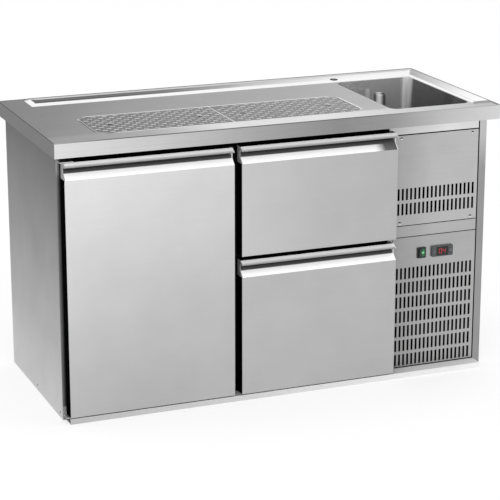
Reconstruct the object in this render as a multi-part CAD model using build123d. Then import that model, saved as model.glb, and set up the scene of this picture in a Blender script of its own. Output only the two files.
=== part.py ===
"""Refrigerated beer dispensing counter: one door, two drawers, drip grates and a sink.

Millimetres. +X is the user's right, -Y the front, +Z up.
The origin lies on the floor under the middle of the worktop.
"""
from build123d import *
import math
import os

os.makedirs("parts", exist_ok=True)

# Overall sizes
counter_width = 1500.0
counter_depth = 650.0
worktop_height = 900.0
edge_height = 48.0
side_overhang = 18.5
front_overhang = 52.0
rear_overhang = 15.0

# Sheet and clearances
worktop_sheet = 1.5
panel_sheet = 1.2
liner_sheet = 1.0
edge_radius = 2.0
hem_width = 15.0
weld_gap = 0.1
slide_clearance = 0.4
seal_clearance = 0.3
screw_clearance = 0.15

# Base, side panels and insulation
base_height = 18.0
base_sheet = 1.5
base_nose = 47.0
nose_left_inset = 11.5
nose_right_inset = 24.5
side_flange = 25.0
wall_insulation = 47.0
floor_insulation_height = 58.5
ceiling_insulation_height = 39.0
rear_insulation_depth = 50.0
partition_thickness = 38.0
partition_cover = 47.5
mullion_width = 62.0
mullion_depth = 45.0
cross_rail_height = 60.0
cross_rail_depth = 30.0

# Door and drawer fronts
face_setback = 2.0
front_thickness = 42.0
front_skin = 1.2
skin_return = 4.0
door_inset = 12.5
door_gap = 24.5
drawer_width = 536.0
bottom_gap = 4.0
top_gap = 19.0
split_gap = 17.5
lower_front_height = 442.5
gasket_width = 14.0
gasket_inset = 16.0
gasket_side_inset = 2.5
seal_top_inset = 2.0
seal_split_inset = 4.0
seal_bottom_inset = 8.0
drawer_seal_right = 24.0
plug_depth = 6.5

# Handle profile along the top of each front, measured from the face
handle_height = 51.5
slope_back = 28.0
slope_rise = 26.5
slot_depth = 37.0
slot_height = 12.0
lip_drop = 2.0
lip_back = 18.0
handle_end_wall = 2.0
handle_end_setback = 20.0

# Hinge
hinge_inset = 15.0
hinge_setback = 23.0
hinge_pin_radius = 5.0
hinge_pin_depth = 10.0
hinge_fit = 0.06
hinge_plate = 3.0
hinge_plate_width = 34.0
hinge_leg = 28.0

# Drawer boxes and telescopic rails
upright_width = 20.0
upright_depth = 30.0
upright_sheet = 1.5
rail_height = 45.0
rail_depth = 12.7
rail_sheet = 1.5
rail_length = 490.0
rail_lift = 16.0
box_wall_height = 130.0
box_sheet = 1.2
box_length = 470.0
box_lift = 8.0

# Raised border along the back and the right of the worktop
border_height = 4.0
border_left_inset = 78.0
border_front_end = 34.0
border_back_slope = 51.0
border_right_slope = 9.0
border_end_slope = 20.0
border_outer_inset = 12.0
border_outer_slope = 4.0
border_dish = 2.5
border_dish_lip = 10.0
border_gap = 4.0

# Drip recess and grates
recess_depth = 240.0
recess_left_margin = 162.0
bridge_width = 87.0
recess_front_margin = 75.0
recess_corner = 42.0
pan_wall = 1.2
pan_depth = 36.0
pan_seat_width = 8.0
grate_drop = 0.6
grate_thickness = 2.5
grate_clearance = 1.0
hole_pitch = 36.0
hole_row_pitch = 20.5
hole_radius = 5.5
hole_margin = 13.0
hole_web = 2.0
finger_hole_radius = 11.0
finger_hole_offset = 149.0
spout_radius = 10.0
spout_bore = 8.5

# Sink
sink_right_margin = 78.0
sink_width = 282.0
sink_front_margin = 57.0
sink_length = 456.0
sink_corner = 28.0
sink_depth = 200.0
sink_wall = 1.2
sink_taper = 12.0
sink_bottom_radius = 22.0
waste_from_back = 66.0
waste_radius = 36.0
waste_body_radius = 25.0
waste_flange = 2.0
waste_drop = 62.0
waste_nut_radius = 34.0
waste_nut_height = 12.0
pipe_radius = 20.0
pipe_wall = 1.5
pipe_below_rim = 37.0
pipe_seat = 16.0
pipe_fit = 0.1
tap_hole_radius = 14.0
tap_from_sink_left = 16.0
tap_from_sink_back = 36.0

# Front panels of the machine compartment
panel_width = 303.5
panel_left_gap = 22.0
panel_right_gap = 3.0
post_sheet = 1.5
post_width = 34.0
post_leg = 9.0
panel_joint = 1.0
panel_line = 2.5
grille_height = 449.0
top_strip_height = 37.0
strip_height = 38.0
panel_return = 8.0
slot_side_margin = 12.5
slot_width = 7.5
slot_length = 39.0
slot_pitch = 15.0
slot_row_pitch = 50.0
service_rows = 2
service_slot_margin = 36.0
grille_controls_gap = 10.0
grille_slot_margin = 5.5
screw_inset_x = 23.0
screw_inset_z = 10.0
screw_head_radius = 4.0
screw_head_height = 1.8
screw_radius = 2.0

# Switch and thermostat
controls_below_top = 58.0
switch_width = 32.0
switch_height = 37.0
switch_offset = 88.0
switch_bezel = 4.0
rocker_gap = 0.4
rocker_tilt = 8.0
rocker_proud = 1.5
rocker_back = 4.0
rocker_pocket = 9.0
switch_depth = 24.0
bezel_corner = 3.0
thermostat_width = 77.0
thermostat_height = 36.0
thermostat_offset = 140.0
thermostat_bezel = 7.0
thermostat_body_depth = 55.0
control_body_inset = 3.0
window_width = 42.0
window_height = 28.0
window_depth = 1.5
key_width = 8.0
key_height = 12.0
key_proud = 0.8
key_travel = 0.6
key_depth = 3.0

# Refrigeration machine
machine_margin = 14.0
condenser_depth = 45.0
condenser_bottom = 60.0
condenser_height = 270.0
condenser_setback = 18.0
fin_count = 26
fin_groove = 6.0
end_plate = 1.5
fan_radius = 105.0
fan_ring_gap = 4.0
shroud_depth = 34.0
motor_radius = 38.0
motor_length = 55.0
shaft_radius = 4.0
shaft_fit = 0.05
hub_radius = 24.0
hub_length = 22.0
blade_count = 5
blade_thickness = 2.0
blade_root_pitch = 38.0
blade_tip_pitch = 20.0
blade_root_chord = 26.0
blade_tip_ratio = 0.55
fan_running_gap = 1.0
arm_count = 3
compressor_radius = 88.0
compressor_height = 215.0
compressor_foot = 14.0
compressor_seam = 3.0
compressor_plate = 4.0
compressor_plate_length = 220.0
compressor_plate_depth = 140.0
compressor_foot_x = 96.0
compressor_foot_y = 56.0
terminal_width = 60.0
terminal_depth = 40.0
terminal_height = 50.0
compressor_from_back = 190.0
line_radius = 5.0
line_spacing = 30.0
bend_radius = 18.0
run_rise = 27.0
drier_radius = 11.0
drier_length = 90.0
arm_radius = 4.0
suction_radius = 6.0
port_radius = 24.0
port_from_back = 48.0
port_below_ceiling = 55.0

# Evaporator behind the mullion
evaporator_width = 46.0
evaporator_length = 340.0
evaporator_height = 250.0
evaporator_drop = 42.0
evaporator_fan_radius = 75.0
cold_motor_length = 30.0

# Shelf behind the door
shelf_height = 430.0
shelf_rod = 3.0
shelf_wire = 2.0
shelf_wires = 13
shelf_gap = 2.0
shelf_angle = 16.0
shelf_angle_sheet = 2.0

# Back panel vents and cable gland
vent_columns = 10
vent_rows = 3
vent_height = 430.0
gland_radius = 11.0
gland_length = 22.0
gland_nut_wall = 3.0
gland_cap_wall = 2.0
gland_height = 80.0

# Derived planes
half_width = counter_width / 2
half_depth = counter_depth / 2
edge_bottom = worktop_height - edge_height
body_left = -half_width + side_overhang
body_right = half_width - side_overhang
body_front = -half_depth + front_overhang
body_back = half_depth - rear_overhang
inner_left = body_left + panel_sheet
inner_right = body_right - panel_sheet
inner_front = body_front + panel_sheet
inner_back = body_back - panel_sheet
front_face = -half_depth + face_setback
front_back = front_face + front_thickness
front_bottom = base_height + bottom_gap
front_top = edge_bottom - top_gap
panel_right = body_right - side_flange - panel_right_gap
panel_left = panel_right - panel_width
panel_middle = (panel_left + panel_right) / 2
partition_right = panel_left - panel_left_gap
chamber_right = partition_right - partition_thickness
drawer_right = chamber_right + partition_cover
drawer_left = drawer_right - drawer_width
door_right = drawer_left - door_gap
door_left = body_left + door_inset
lower_top = front_bottom + lower_front_height
upper_bottom = lower_top + split_gap
chamber_left = inner_left + wall_insulation
chamber_floor = base_sheet + floor_insulation_height
chamber_ceiling = edge_bottom - ceiling_insulation_height
chamber_back = inner_back - rear_insulation_depth
mullion_middle = (door_right + drawer_left) / 2
mullion_left = mullion_middle - mullion_width / 2
mullion_right = mullion_middle + mullion_width / 2
mullion_back = body_front + mullion_depth
split_middle = (lower_top + upper_bottom) / 2
cross_rail_bottom = split_middle - cross_rail_height / 2
cross_rail_top = split_middle + cross_rail_height / 2
clear_floor = chamber_floor + liner_sheet
clear_ceiling = chamber_ceiling - liner_sheet
clear_left = chamber_left + liner_sheet
clear_right = chamber_right - liner_sheet
clear_back = chamber_back - liner_sheet
up = (0, 0, 1)


def block(x0, x1, y0, y1, z0, z1):
    """Box between two corners."""
    middle = Pos((x0 + x1) / 2, (y0 + y1) / 2, (z0 + z1) / 2)
    return middle * Box(x1 - x0, y1 - y0, z1 - z0)


def slab(x0, x1, y0, y1, z0, z1, corner):
    """Upright prism with rounded vertical corners."""
    outline = Pos((x0 + x1) / 2, (y0 + y1) / 2, z0) * RectangleRounded(x1 - x0, y1 - y0, corner)
    return extrude(outline, amount=z1 - z0, dir=up)


def prism_x(points, x0, x1):
    """Outline of (y, z) points drawn out along X."""
    outline = Plane.YZ.offset(x0) * Polygon(*points, align=None)
    return extrude(outline, amount=x1 - x0, dir=(1, 0, 0))


def prism_y(points, y0, y1):
    """Outline of (x, z) points drawn out along Y."""
    wire = Wire.make_polygon([Vector(x, y0, z) for x, z in points], close=True)
    return extrude(Face(wire), amount=y1 - y0, dir=(0, 1, 0))


def prism_z(points, z0, z1):
    """Outline of (x, y) points drawn out along Z."""
    wire = Wire.make_polygon([Vector(x, y, z0) for x, y in points], close=True)
    return extrude(Face(wire), amount=z1 - z0, dir=up)


def rod(start, finish, radius):
    """Round bar from one point to another."""
    axis = Vector(*finish) - Vector(*start)
    base = Plane(origin=start, z_dir=axis)
    return extrude(base * Circle(radius), amount=axis.length)


def upright_rectangle(x0, x1, z0, z1, y):
    """Closed wire in a plane that faces the front."""
    corners = [(x0, z0), (x1, z0), (x1, z1), (x0, z1)]
    return Wire.make_polygon([Vector(x, y, z) for x, z in corners], close=True)


def save(name, shape):
    """Write one piece, or one group of like pieces, to its own file."""
    export_step(shape, f"parts/{name}.step")


# Worktop with folded edges, raised border and cut-outs
sink_right = half_width - sink_right_margin
sink_left = sink_right - sink_width
recess_left = -half_width + recess_left_margin
recess_right = sink_left - bridge_width
recess_front = -half_depth + recess_front_margin
recess_back = recess_front + recess_depth
sink_front = -half_depth + sink_front_margin
sink_back = sink_front + sink_length
tap_x = sink_left + tap_from_sink_left
tap_y = sink_back + border_gap + tap_from_sink_back
core_top = worktop_height - worktop_sheet


def border_outline(left, back_inner, right_inner, front_end, right_outer, back_outer, z):
    """L-shaped outline along the back and the right of the worktop."""
    points = [
        (left, back_inner),
        (right_inner, back_inner),
        (right_inner, front_end),
        (right_outer, front_end),
        (right_outer, back_outer),
        (left, back_outer),
    ]
    return Face(Wire.make_polygon([Vector(x, y, z) for x, y in points], close=True))


def make_border():
    """Raised border with a sloped inner side and a shallow dish along its top."""
    left = -half_width + border_left_inset
    inner_y = sink_back + border_gap
    inner_x = sink_right + border_gap
    end_y = -half_depth + border_front_end
    outer_x = half_width - border_outer_inset
    outer_y = half_depth - border_outer_inset
    crest = worktop_height + border_height
    foot = border_outline(left, inner_y, inner_x, end_y, outer_x, outer_y, worktop_height)
    crest_left = left + border_end_slope
    crest_y = inner_y + border_back_slope
    crest_x = inner_x + border_right_slope
    crest_end = end_y + border_end_slope
    top_x = outer_x - border_outer_slope
    top_y = outer_y - border_outer_slope
    top = border_outline(crest_left, crest_y, crest_x, crest_end, top_x, top_y, crest)
    border = loft([foot, top], ruled=True)
    lip = border_dish_lip
    mouth = border_outline(crest_left, crest_y, crest_x, crest_end, top_x - lip, top_y - lip, crest)
    floor = border_outline(
        crest_left + border_end_slope,
        top_y - 3 * lip,
        top_x - 3 * lip,
        crest_end + border_end_slope,
        top_x - 2 * lip,
        top_y - 2 * lip,
        crest - border_dish,
    )
    return border - loft([mouth, floor], ruled=True)


def make_worktop():
    """Folded top sheet with hems, border, recess and sink openings and tap hole."""
    outer = block(-half_width, half_width, -half_depth, half_depth, edge_bottom, worktop_height)
    outer = fillet(outer.edges().group_by(Axis.Z)[-1], edge_radius)
    inside_x = half_width - worktop_sheet
    inside_y = half_depth - worktop_sheet
    hem_top = edge_bottom + worktop_sheet
    hollow = block(-inside_x, inside_x, -inside_y, inside_y, hem_top, core_top)
    hem_x = inside_x - hem_width
    hem_y = inside_y - hem_width
    mouth = block(-hem_x, hem_x, -hem_y, hem_y, edge_bottom, hem_top)
    skin = outer - hollow - mouth + make_border()
    below = core_top - border_height
    above = worktop_height + 2 * border_height
    recess = slab(recess_left, recess_right, recess_front, recess_back, below, above, recess_corner)
    sink = slab(sink_left, sink_right, sink_front, sink_back, below, above, sink_corner)
    tap = rod((tap_x, tap_y, below), (tap_x, tap_y, above), tap_hole_radius)
    return skin - recess - sink - tap


def make_worktop_core():
    """Boards under the top sheet, laid round the recess and the sink."""
    reach_x = half_width - worktop_sheet - hem_width - weld_gap
    reach_y = half_depth - worktop_sheet - hem_width - weld_gap
    left = recess_left - pan_wall
    right = sink_right + sink_wall
    bridge_left = recess_right + pan_wall
    bridge_right = sink_left - sink_wall
    behind = recess_back + pan_wall
    front = min(recess_front - pan_wall, sink_front - sink_wall)
    back = max(behind, sink_back + sink_wall)
    inner_start = front + weld_gap
    inner_finish = back - weld_gap
    spout_side = spout_radius + weld_gap
    spans = [
        (-reach_x, reach_x, -reach_y, front),
        (-reach_x, left, inner_start, inner_finish),
        (left + weld_gap, bridge_right, behind, inner_finish),
        (bridge_left, bridge_right, inner_start, spout_y - spout_side),
        (bridge_left, bridge_right, spout_y + spout_side, behind - weld_gap),
        (right, reach_x, inner_start, inner_finish),
    ]
    boards = [block(*span, edge_bottom, core_top) for span in spans]
    rear = block(-reach_x, reach_x, back, reach_y, edge_bottom, core_top)
    tap = rod((tap_x, tap_y, edge_bottom), (tap_x, tap_y, core_top), tap_hole_radius)
    return Compound(boards + [rear - tap])


# Drip pan and grates
spout_y = (recess_front + recess_back) / 2
seat_z = worktop_height - grate_drop - grate_thickness
pan_bottom = seat_z - pan_depth + pan_wall
spout_z = pan_bottom + pan_wall + spout_bore


def make_drip_pan():
    """Welded-in tub with a seat for the grates and a spout into the sink."""
    gap = weld_gap
    seat = pan_seat_width
    mouth = slab(
        recess_left + gap,
        recess_right - gap,
        recess_front + gap,
        recess_back - gap,
        seat_z - pan_wall,
        worktop_height,
        recess_corner - gap,
    )
    rim = gap + pan_wall
    mouth_hollow = slab(
        recess_left + rim,
        recess_right - rim,
        recess_front + rim,
        recess_back - rim,
        seat_z,
        worktop_height,
        recess_corner - rim,
    )
    tub = slab(
        recess_left + seat,
        recess_right - seat,
        recess_front + seat,
        recess_back - seat,
        pan_bottom,
        seat_z,
        recess_corner - seat,
    )
    deep = seat + pan_wall
    tub_hollow = slab(
        recess_left + deep,
        recess_right - deep,
        recess_front + deep,
        recess_back - deep,
        pan_bottom + pan_wall,
        seat_z,
        recess_corner - deep,
    )
    start = (recess_right - deep, spout_y, spout_z)
    finish = (sink_left + pan_seat_width, spout_y, spout_z)
    spout = rod(start, finish, spout_radius)
    bore = rod(start, finish, spout_bore)
    pan = mouth + tub - mouth_hollow - tub_hollow
    return pan + (spout - tub_hollow) - bore


def hexagon(x, y, z, radius):
    """Six-sided hole outline."""
    angles = [math.radians(60 * step + 30) for step in range(6)]
    ring = [Vector(x + radius * math.cos(a), y + radius * math.sin(a), z) for a in angles]
    return Wire.make_polygon(ring, close=True)


def make_grate(left, right, round_left):
    """Perforated drip grate with staggered holes and two finger holes."""
    front = recess_front + weld_gap + pan_wall + grate_clearance
    back = recess_back - weld_gap - pan_wall - grate_clearance
    middle_x = (left + right) / 2
    middle_y = (front + back) / 2
    corner = recess_corner - weld_gap - pan_wall - grate_clearance
    sketch = Pos(middle_x, middle_y, seat_z) * Rectangle(right - left, back - front)
    corners = sketch.vertices().sort_by(Axis.X)
    rounded = corners[:2] if round_left else corners[2:]
    sketch = fillet(rounded, corner)
    fingers = [middle_x - finger_hole_offset, middle_x + finger_hole_offset]
    rows = int((back - front - 2 * hole_margin) / hole_row_pitch) + 1
    columns = int((right - left - 2 * hole_margin - hole_pitch / 2) / hole_pitch) + 1
    holes = []
    for row in range(rows):
        y = middle_y + (row - (rows - 1) / 2) * hole_row_pitch
        shift = hole_pitch / 4 if row % 2 else -hole_pitch / 4
        for column in range(columns):
            x = middle_x + (column - (columns - 1) / 2) * hole_pitch + shift
            reach = max(abs(x - middle_x) + corner - (right - left) / 2, 0)
            depth = max(abs(y - middle_y) + corner - (back - front) / 2, 0)
            near_corner = math.hypot(reach, depth) > corner - hole_margin / 2
            near_finger = min(math.hypot(x - f, y - middle_y) for f in fingers)
            if near_corner or near_finger < finger_hole_radius + hole_radius + hole_web:
                continue
            holes.append(hexagon(x, y, seat_z, hole_radius))
    for finger in fingers:
        place = Plane(origin=(finger, middle_y, seat_z))
        holes.append(Wire.make_circle(finger_hole_radius, place))
    plate = Face(sketch.face().outer_wire(), holes)
    return extrude(plate, amount=grate_thickness, dir=up)


grate_start = recess_left + weld_gap + pan_wall + grate_clearance
grate_finish = recess_right - weld_gap - pan_wall - grate_clearance
grate_seam = (grate_start + grate_finish) / 2

save("worktop", make_worktop())
save("worktop_core", make_worktop_core())
save("drip_pan", make_drip_pan())
save("drip_grate_left", make_grate(grate_start, grate_seam - grate_clearance / 2, True))
save("drip_grate_right", make_grate(grate_seam + grate_clearance / 2, grate_finish, False))

# Sink bowl, waste and overflow pipe
sink_bottom = worktop_height - sink_depth
sink_middle = (sink_left + sink_right) / 2
waste_y = sink_back - waste_from_back


def bowl_solid(wall, bottom):
    """Tapered bowl shape, smaller by a wall thickness on every side."""
    middle_y = (sink_front + sink_back) / 2
    wide = sink_width - 2 * wall
    long = sink_length - 2 * wall
    top = Pos(sink_middle, middle_y, worktop_height) * RectangleRounded(wide, long, sink_corner - wall)
    narrow = RectangleRounded(wide - 2 * sink_taper, long - 2 * sink_taper, sink_corner - wall)
    shape = loft([Pos(sink_middle, middle_y, bottom) * narrow, top])
    return fillet(shape.edges().group_by(Axis.Z)[0], sink_bottom_radius - wall)


def make_sink_bowl():
    """Pressed bowl welded under the worktop, holed for the waste and the spout."""
    outer = bowl_solid(weld_gap, sink_bottom - sink_wall)
    inner = bowl_solid(weld_gap + sink_wall, sink_bottom)
    waste = rod(
        (sink_middle, waste_y, sink_bottom - 2 * sink_wall),
        (sink_middle, waste_y, sink_bottom + sink_wall),
        waste_body_radius + weld_gap,
    )
    spout = rod(
        (sink_left - pan_seat_width, spout_y, spout_z),
        (sink_left + 2 * sink_taper, spout_y, spout_z),
        spout_radius + weld_gap,
    )
    return outer - inner - waste - spout


def make_sink_waste():
    """Waste fitting: flange in the bowl, threaded body, back nut and spigot."""
    under = sink_bottom - sink_wall
    low = sink_bottom - waste_drop
    bore = pipe_radius + pipe_fit
    seat = sink_bottom + waste_flange - pipe_seat
    through = pipe_radius - pipe_wall
    outline = [
        (bore, sink_bottom + waste_flange),
        (waste_radius - waste_flange, sink_bottom + waste_flange),
        (waste_radius, sink_bottom),
        (waste_body_radius, sink_bottom),
        (waste_body_radius, under),
        (waste_nut_radius, under),
        (waste_nut_radius, under - waste_nut_height),
        (waste_body_radius, under - waste_nut_height),
        (waste_body_radius, low),
        (through, low),
        (through, seat),
        (bore, seat),
    ]
    profile = Plane.XZ * Polygon(*outline, align=None)
    return Pos(sink_middle, waste_y, 0) * revolve(profile, Axis.Z)


def make_overflow_pipe():
    """Removable standpipe with a rolled rim."""
    low = sink_bottom + waste_flange - pipe_seat + seal_clearance
    high = worktop_height - pipe_below_rim
    tube = rod((sink_middle, waste_y, low), (sink_middle, waste_y, high), pipe_radius)
    bore = rod((sink_middle, waste_y, low), (sink_middle, waste_y, high), pipe_radius - pipe_wall)
    rim = Pos(sink_middle, waste_y, high) * Torus(pipe_radius - pipe_wall / 2, pipe_wall)
    return tube - bore + rim


save("sink_bowl", make_sink_bowl())
save("sink_waste", make_sink_waste())
save("overflow_pipe", make_overflow_pipe())


# Outer panels
def make_side_panel(side):
    """Side sheet with a folded flange at the front; side is -1 left or 1 right."""
    edge = body_right * side
    inner = inner_right * side
    fold = (body_right - side_flange) * side
    outline = [
        (edge, body_front),
        (edge, body_back),
        (inner, body_back),
        (inner, inner_front),
        (fold, inner_front),
        (fold, body_front),
    ]
    panel = prism_z(outline, 0, edge_bottom)
    left = min(fold, inner)
    right = max(fold, inner)
    return panel - block(left, right, body_front, inner_front, 0, base_sheet)


def make_back_panel():
    """Back sheet with vent slots behind the machine and a cable entry."""
    outer = upright_rectangle(inner_left, inner_right, 0, edge_bottom, inner_back)
    holes = []
    first_x = panel_middle - (vent_columns - 1) * slot_pitch / 2
    for row in range(vent_rows):
        z = vent_height - row * slot_row_pitch
        for column in range(vent_columns):
            x = first_x + column * slot_pitch
            left = x - slot_width / 2
            holes.append(upright_rectangle(left, left + slot_width, z, z + slot_length, inner_back))
    entry = Plane(origin=(panel_middle, inner_back, gland_height), z_dir=(0, -1, 0))
    holes.append(Wire.make_circle(gland_radius, entry))
    return extrude(Face(outer, holes), amount=panel_sheet, dir=(0, 1, 0))


def make_base_pan():
    """Bottom tray whose nose comes forward under the door and drawers."""
    nose = body_front - base_nose
    sheet = base_sheet
    outline = [
        (inner_back, 0),
        (nose, 0),
        (nose, base_height),
        (body_front, base_height),
        (body_front, base_height - sheet),
        (nose + sheet, base_height - sheet),
        (nose + sheet, sheet),
        (inner_back, sheet),
    ]
    pan = prism_x(outline, inner_left, inner_right)
    left_corner = block(inner_left, body_left + nose_left_inset, nose, body_front, 0, base_height)
    right_corner = block(body_right - nose_right_inset, inner_right, nose, body_front, 0, base_height)
    return pan - left_corner - right_corner


def make_cable_gland():
    """Screwed gland in the back panel where a supply lead would enter."""
    start = inner_back - gland_length / 2
    neck = rod((panel_middle, start, gland_height), (panel_middle, body_back, gland_height), gland_radius)
    flat = Plane(origin=(panel_middle, start, gland_height), z_dir=(0, -1, 0))
    nut = extrude(flat * RegularPolygon(gland_radius + gland_nut_wall, 6), amount=gland_length / 2, dir=(0, 1, 0))
    cap_start = Plane(origin=(panel_middle, body_back, gland_height), z_dir=(0, 1, 0))
    cap = extrude(cap_start * Circle(gland_radius + gland_cap_wall), amount=rear_overhang / 2, dir=(0, 1, 0))
    whole = neck + nut + cap
    bore_finish = (panel_middle, body_back + rear_overhang, gland_height)
    return whole - rod((panel_middle, start, gland_height), bore_finish, gland_radius / 2)


save("side_panel_left", make_side_panel(-1))
save("side_panel_right", make_side_panel(1))
save("back_panel", make_back_panel())
save("base_pan", make_base_pan())
save("cable_gland", make_cable_gland())

# Insulation and liner of the cold chamber
port_y = chamber_back - port_from_back
port_z = chamber_ceiling - port_below_ceiling


def port_hole():
    """Bore for the refrigerant lines through the partition and liner."""
    start = (chamber_right - 2 * liner_sheet, port_y, port_z)
    return rod(start, (partition_right, port_y, port_z), port_radius)


def make_liner():
    """Five-walled steel liner with a flange that faces the door and drawers."""
    outer = block(chamber_left, chamber_right, body_front, chamber_back, chamber_floor, chamber_ceiling)
    flange_left = body_left + side_flange
    flange = block(flange_left, partition_right, body_front, inner_front, base_sheet, edge_bottom)
    hollow = block(clear_left, clear_right, body_front, clear_back, clear_floor, clear_ceiling)
    return outer + flange - hollow - port_hole()


save(
    "floor_insulation",
    block(inner_left, partition_right, inner_front, inner_back, base_sheet, chamber_floor),
)
save(
    "ceiling_insulation",
    block(inner_left, partition_right, inner_front, inner_back, chamber_ceiling, edge_bottom),
)
save(
    "left_insulation",
    block(inner_left, chamber_left, inner_front, inner_back, chamber_floor, chamber_ceiling),
)
save(
    "partition_insulation",
    block(chamber_right, partition_right, inner_front, inner_back, chamber_floor, chamber_ceiling)
    - port_hole(),
)
save(
    "rear_insulation",
    block(chamber_left, chamber_right, chamber_back, inner_back, chamber_floor, chamber_ceiling),
)
save("chamber_liner", make_liner())


# Mullion, uprights and fixed rails
def make_mullion():
    """Post between door and drawers with the cross rail between the drawers."""
    post = block(mullion_left, mullion_right, body_front, mullion_back, clear_floor, clear_ceiling)
    rail_back = body_front + cross_rail_depth
    rail = block(
        mullion_right, clear_right, body_front, rail_back, cross_rail_bottom, cross_rail_top
    )
    return post + rail


upright_front = body_front + cross_rail_depth + slide_clearance
upright_rear = clear_back - upright_depth
rail_front = upright_front + slide_clearance
rail_back = rail_front + rail_length
left_rail_face = mullion_right + upright_width
right_rail_face = clear_right - upright_width
upper_rail_z = cross_rail_top + rail_lift
lower_rail_z = clear_floor + rail_lift


def make_upright(side, y):
    """Folded channel from the liner floor to its ceiling; side is -1 left or 1 right."""
    back = mullion_right if side < 0 else clear_right
    face = left_rail_face if side < 0 else right_rail_face
    sheet = upright_sheet
    outline = [
        (back, y),
        (face, y),
        (face, y + upright_depth),
        (back, y + upright_depth),
        (back, y + upright_depth - sheet),
        (face + side * sheet, y + upright_depth - sheet),
        (face + side * sheet, y + sheet),
        (back, y + sheet),
    ]
    return prism_z(outline, clear_floor, clear_ceiling)


def channel(web, tip, low, high, back):
    """Telescopic rail: a channel with its web at one x and its legs towards another."""
    sheet = math.copysign(rail_sheet, tip - web)
    outline = [
        (web, low),
        (tip, low),
        (tip, low + rail_sheet),
        (web + sheet, low + rail_sheet),
        (web + sheet, high - rail_sheet),
        (tip, high - rail_sheet),
        (tip, high),
        (web, high),
    ]
    return prism_y(outline, rail_front, back)


def rail_pair(bottom, stage, back):
    """Both rails of one drawer; stage 0 is fixed, 1 the middle member, 2 the drawer's."""
    step = rail_sheet + slide_clearance
    low = bottom + stage * step
    high = bottom + rail_height - stage * step
    pair = []
    for face, inward in ((left_rail_face, 1), (right_rail_face, -1)):
        near = face + inward * min(stage, 1) * step
        far = face + inward * rail_depth
        if stage == 2:
            pair.append(channel(far, near + inward * step, low, high, back))
        elif stage == 1:
            pair.append(channel(near, far - inward * step, low, high, back))
        else:
            pair.append(channel(face, far - inward * step, low, high, back))
    return pair


save("front_mullion", make_mullion())
uprights = [make_upright(side, y) for side in (-1, 1) for y in (upright_front, upright_rear)]
save("rail_uprights", Compound(uprights))
fixed_members = rail_pair(upper_rail_z, 0, rail_back) + rail_pair(lower_rail_z, 0, rail_back)
save("fixed_rails", Compound(fixed_members))


# Door and drawer fronts
def handle_points(top):
    """Section of the grip: slope, finger slot and lip, as (y, z) points."""
    low = top - handle_height
    slot_low = low + slope_rise
    slot_high = slot_low + slot_height
    return [
        (front_face, low),
        (front_face + slope_back, slot_low),
        (front_face + slot_depth, slot_low),
        (front_face + slot_depth, slot_high),
        (front_face + lip_drop, slot_high),
        (front_face, slot_high + lip_drop),
        (front_face + lip_back, top),
        (front_back, top),
        (front_back, low),
    ]


def make_handle(left, right, top):
    """Grip profile with its slot closed at both ends."""
    profile = prism_x(handle_points(top), left, right)
    low = top - handle_height + slope_rise
    start = front_face + handle_end_setback
    finish = front_face + slot_depth
    cap_low = low - slope_rise * (slope_back - handle_end_setback) / slope_back
    ends = []
    for x in (left, right - handle_end_wall):
        outline = [
            (start, cap_low),
            (front_face + slope_back, low),
            (finish, low),
            (finish, low + slot_height),
            (start, low + slot_height),
        ]
        ends.append(prism_x(outline, x, x + handle_end_wall))
    return profile + ends


def make_skin(left, right, bottom, top):
    """Front sheet with short returns on its sides and bottom."""
    high = top - handle_height
    back = front_face + skin_return
    outer = block(left, right, front_face, back, bottom, high)
    inner = block(
        left + front_skin, right - front_skin, front_face + front_skin, back, bottom + front_skin, high
    )
    return outer - inner


def make_inner(left, right, bottom, top, plug_left, plug_right, plug_bottom, plug_top):
    """Insulated core of a front, with a raised plug inside the gasket."""
    high = top - handle_height
    behind_return = front_face + skin_return
    core = block(left, right, behind_return, front_back, bottom, high)
    tongue = block(
        left + front_skin,
        right - front_skin,
        front_face + front_skin,
        behind_return,
        bottom + front_skin,
        high,
    )
    plug = block(plug_left, plug_right, front_back, front_back + plug_depth, plug_bottom, plug_top)
    plug = chamfer(plug.faces().sort_by(Axis.Y)[-1].edges(), plug_depth / 2)
    return core + tongue + plug


def make_gasket(left, right, bottom, top):
    """Magnetic seal frame with a rounded sealing side."""
    back = body_front - seal_clearance
    outer = block(left, right, front_back, back, bottom, top)
    inner = block(
        left + gasket_width,
        right - gasket_width,
        front_back,
        back,
        bottom + gasket_width,
        top - gasket_width,
    )
    return outer - inner


def hinge_hole(low, high):
    """Round hole on the hinge axis."""
    return rod((hinge_x, hinge_y, low), (hinge_x, hinge_y, high), hinge_pin_radius + hinge_fit)


def make_front(name, left, right, bottom, top, insets, pin_holes):
    """Skin, core, grip and gasket of one front; insets place its seal from the edges."""
    left_inset, right_inset, top_inset, bottom_inset = insets
    seal_left = left + left_inset
    seal_right = right - right_inset
    seal_bottom = bottom + bottom_inset
    seal_top = top - top_inset
    reach = gasket_width + seal_clearance
    plug_top = min(seal_top - reach, top - handle_height)
    grip = make_handle(left, right, top)
    core = make_inner(
        left,
        right,
        bottom,
        top,
        seal_left + reach,
        seal_right - reach,
        seal_bottom + reach,
        plug_top,
    )
    for hole in pin_holes:
        core = core - hole
        grip = grip - hole
    save(f"{name}_front", make_skin(left, right, bottom, top))
    save(f"{name}_inner", core)
    save(f"{name}_handle", grip)
    save(f"{name}_gasket", make_gasket(seal_left, seal_right, seal_bottom, seal_top))


hinge_x = door_left + hinge_inset
hinge_y = front_face + hinge_setback

hinge_clear = bottom_gap - hinge_plate
low_hole = hinge_hole(front_bottom, front_bottom + hinge_pin_depth + hinge_clear)
high_hole = hinge_hole(front_top - hinge_pin_depth - hinge_clear, front_top)

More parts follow.
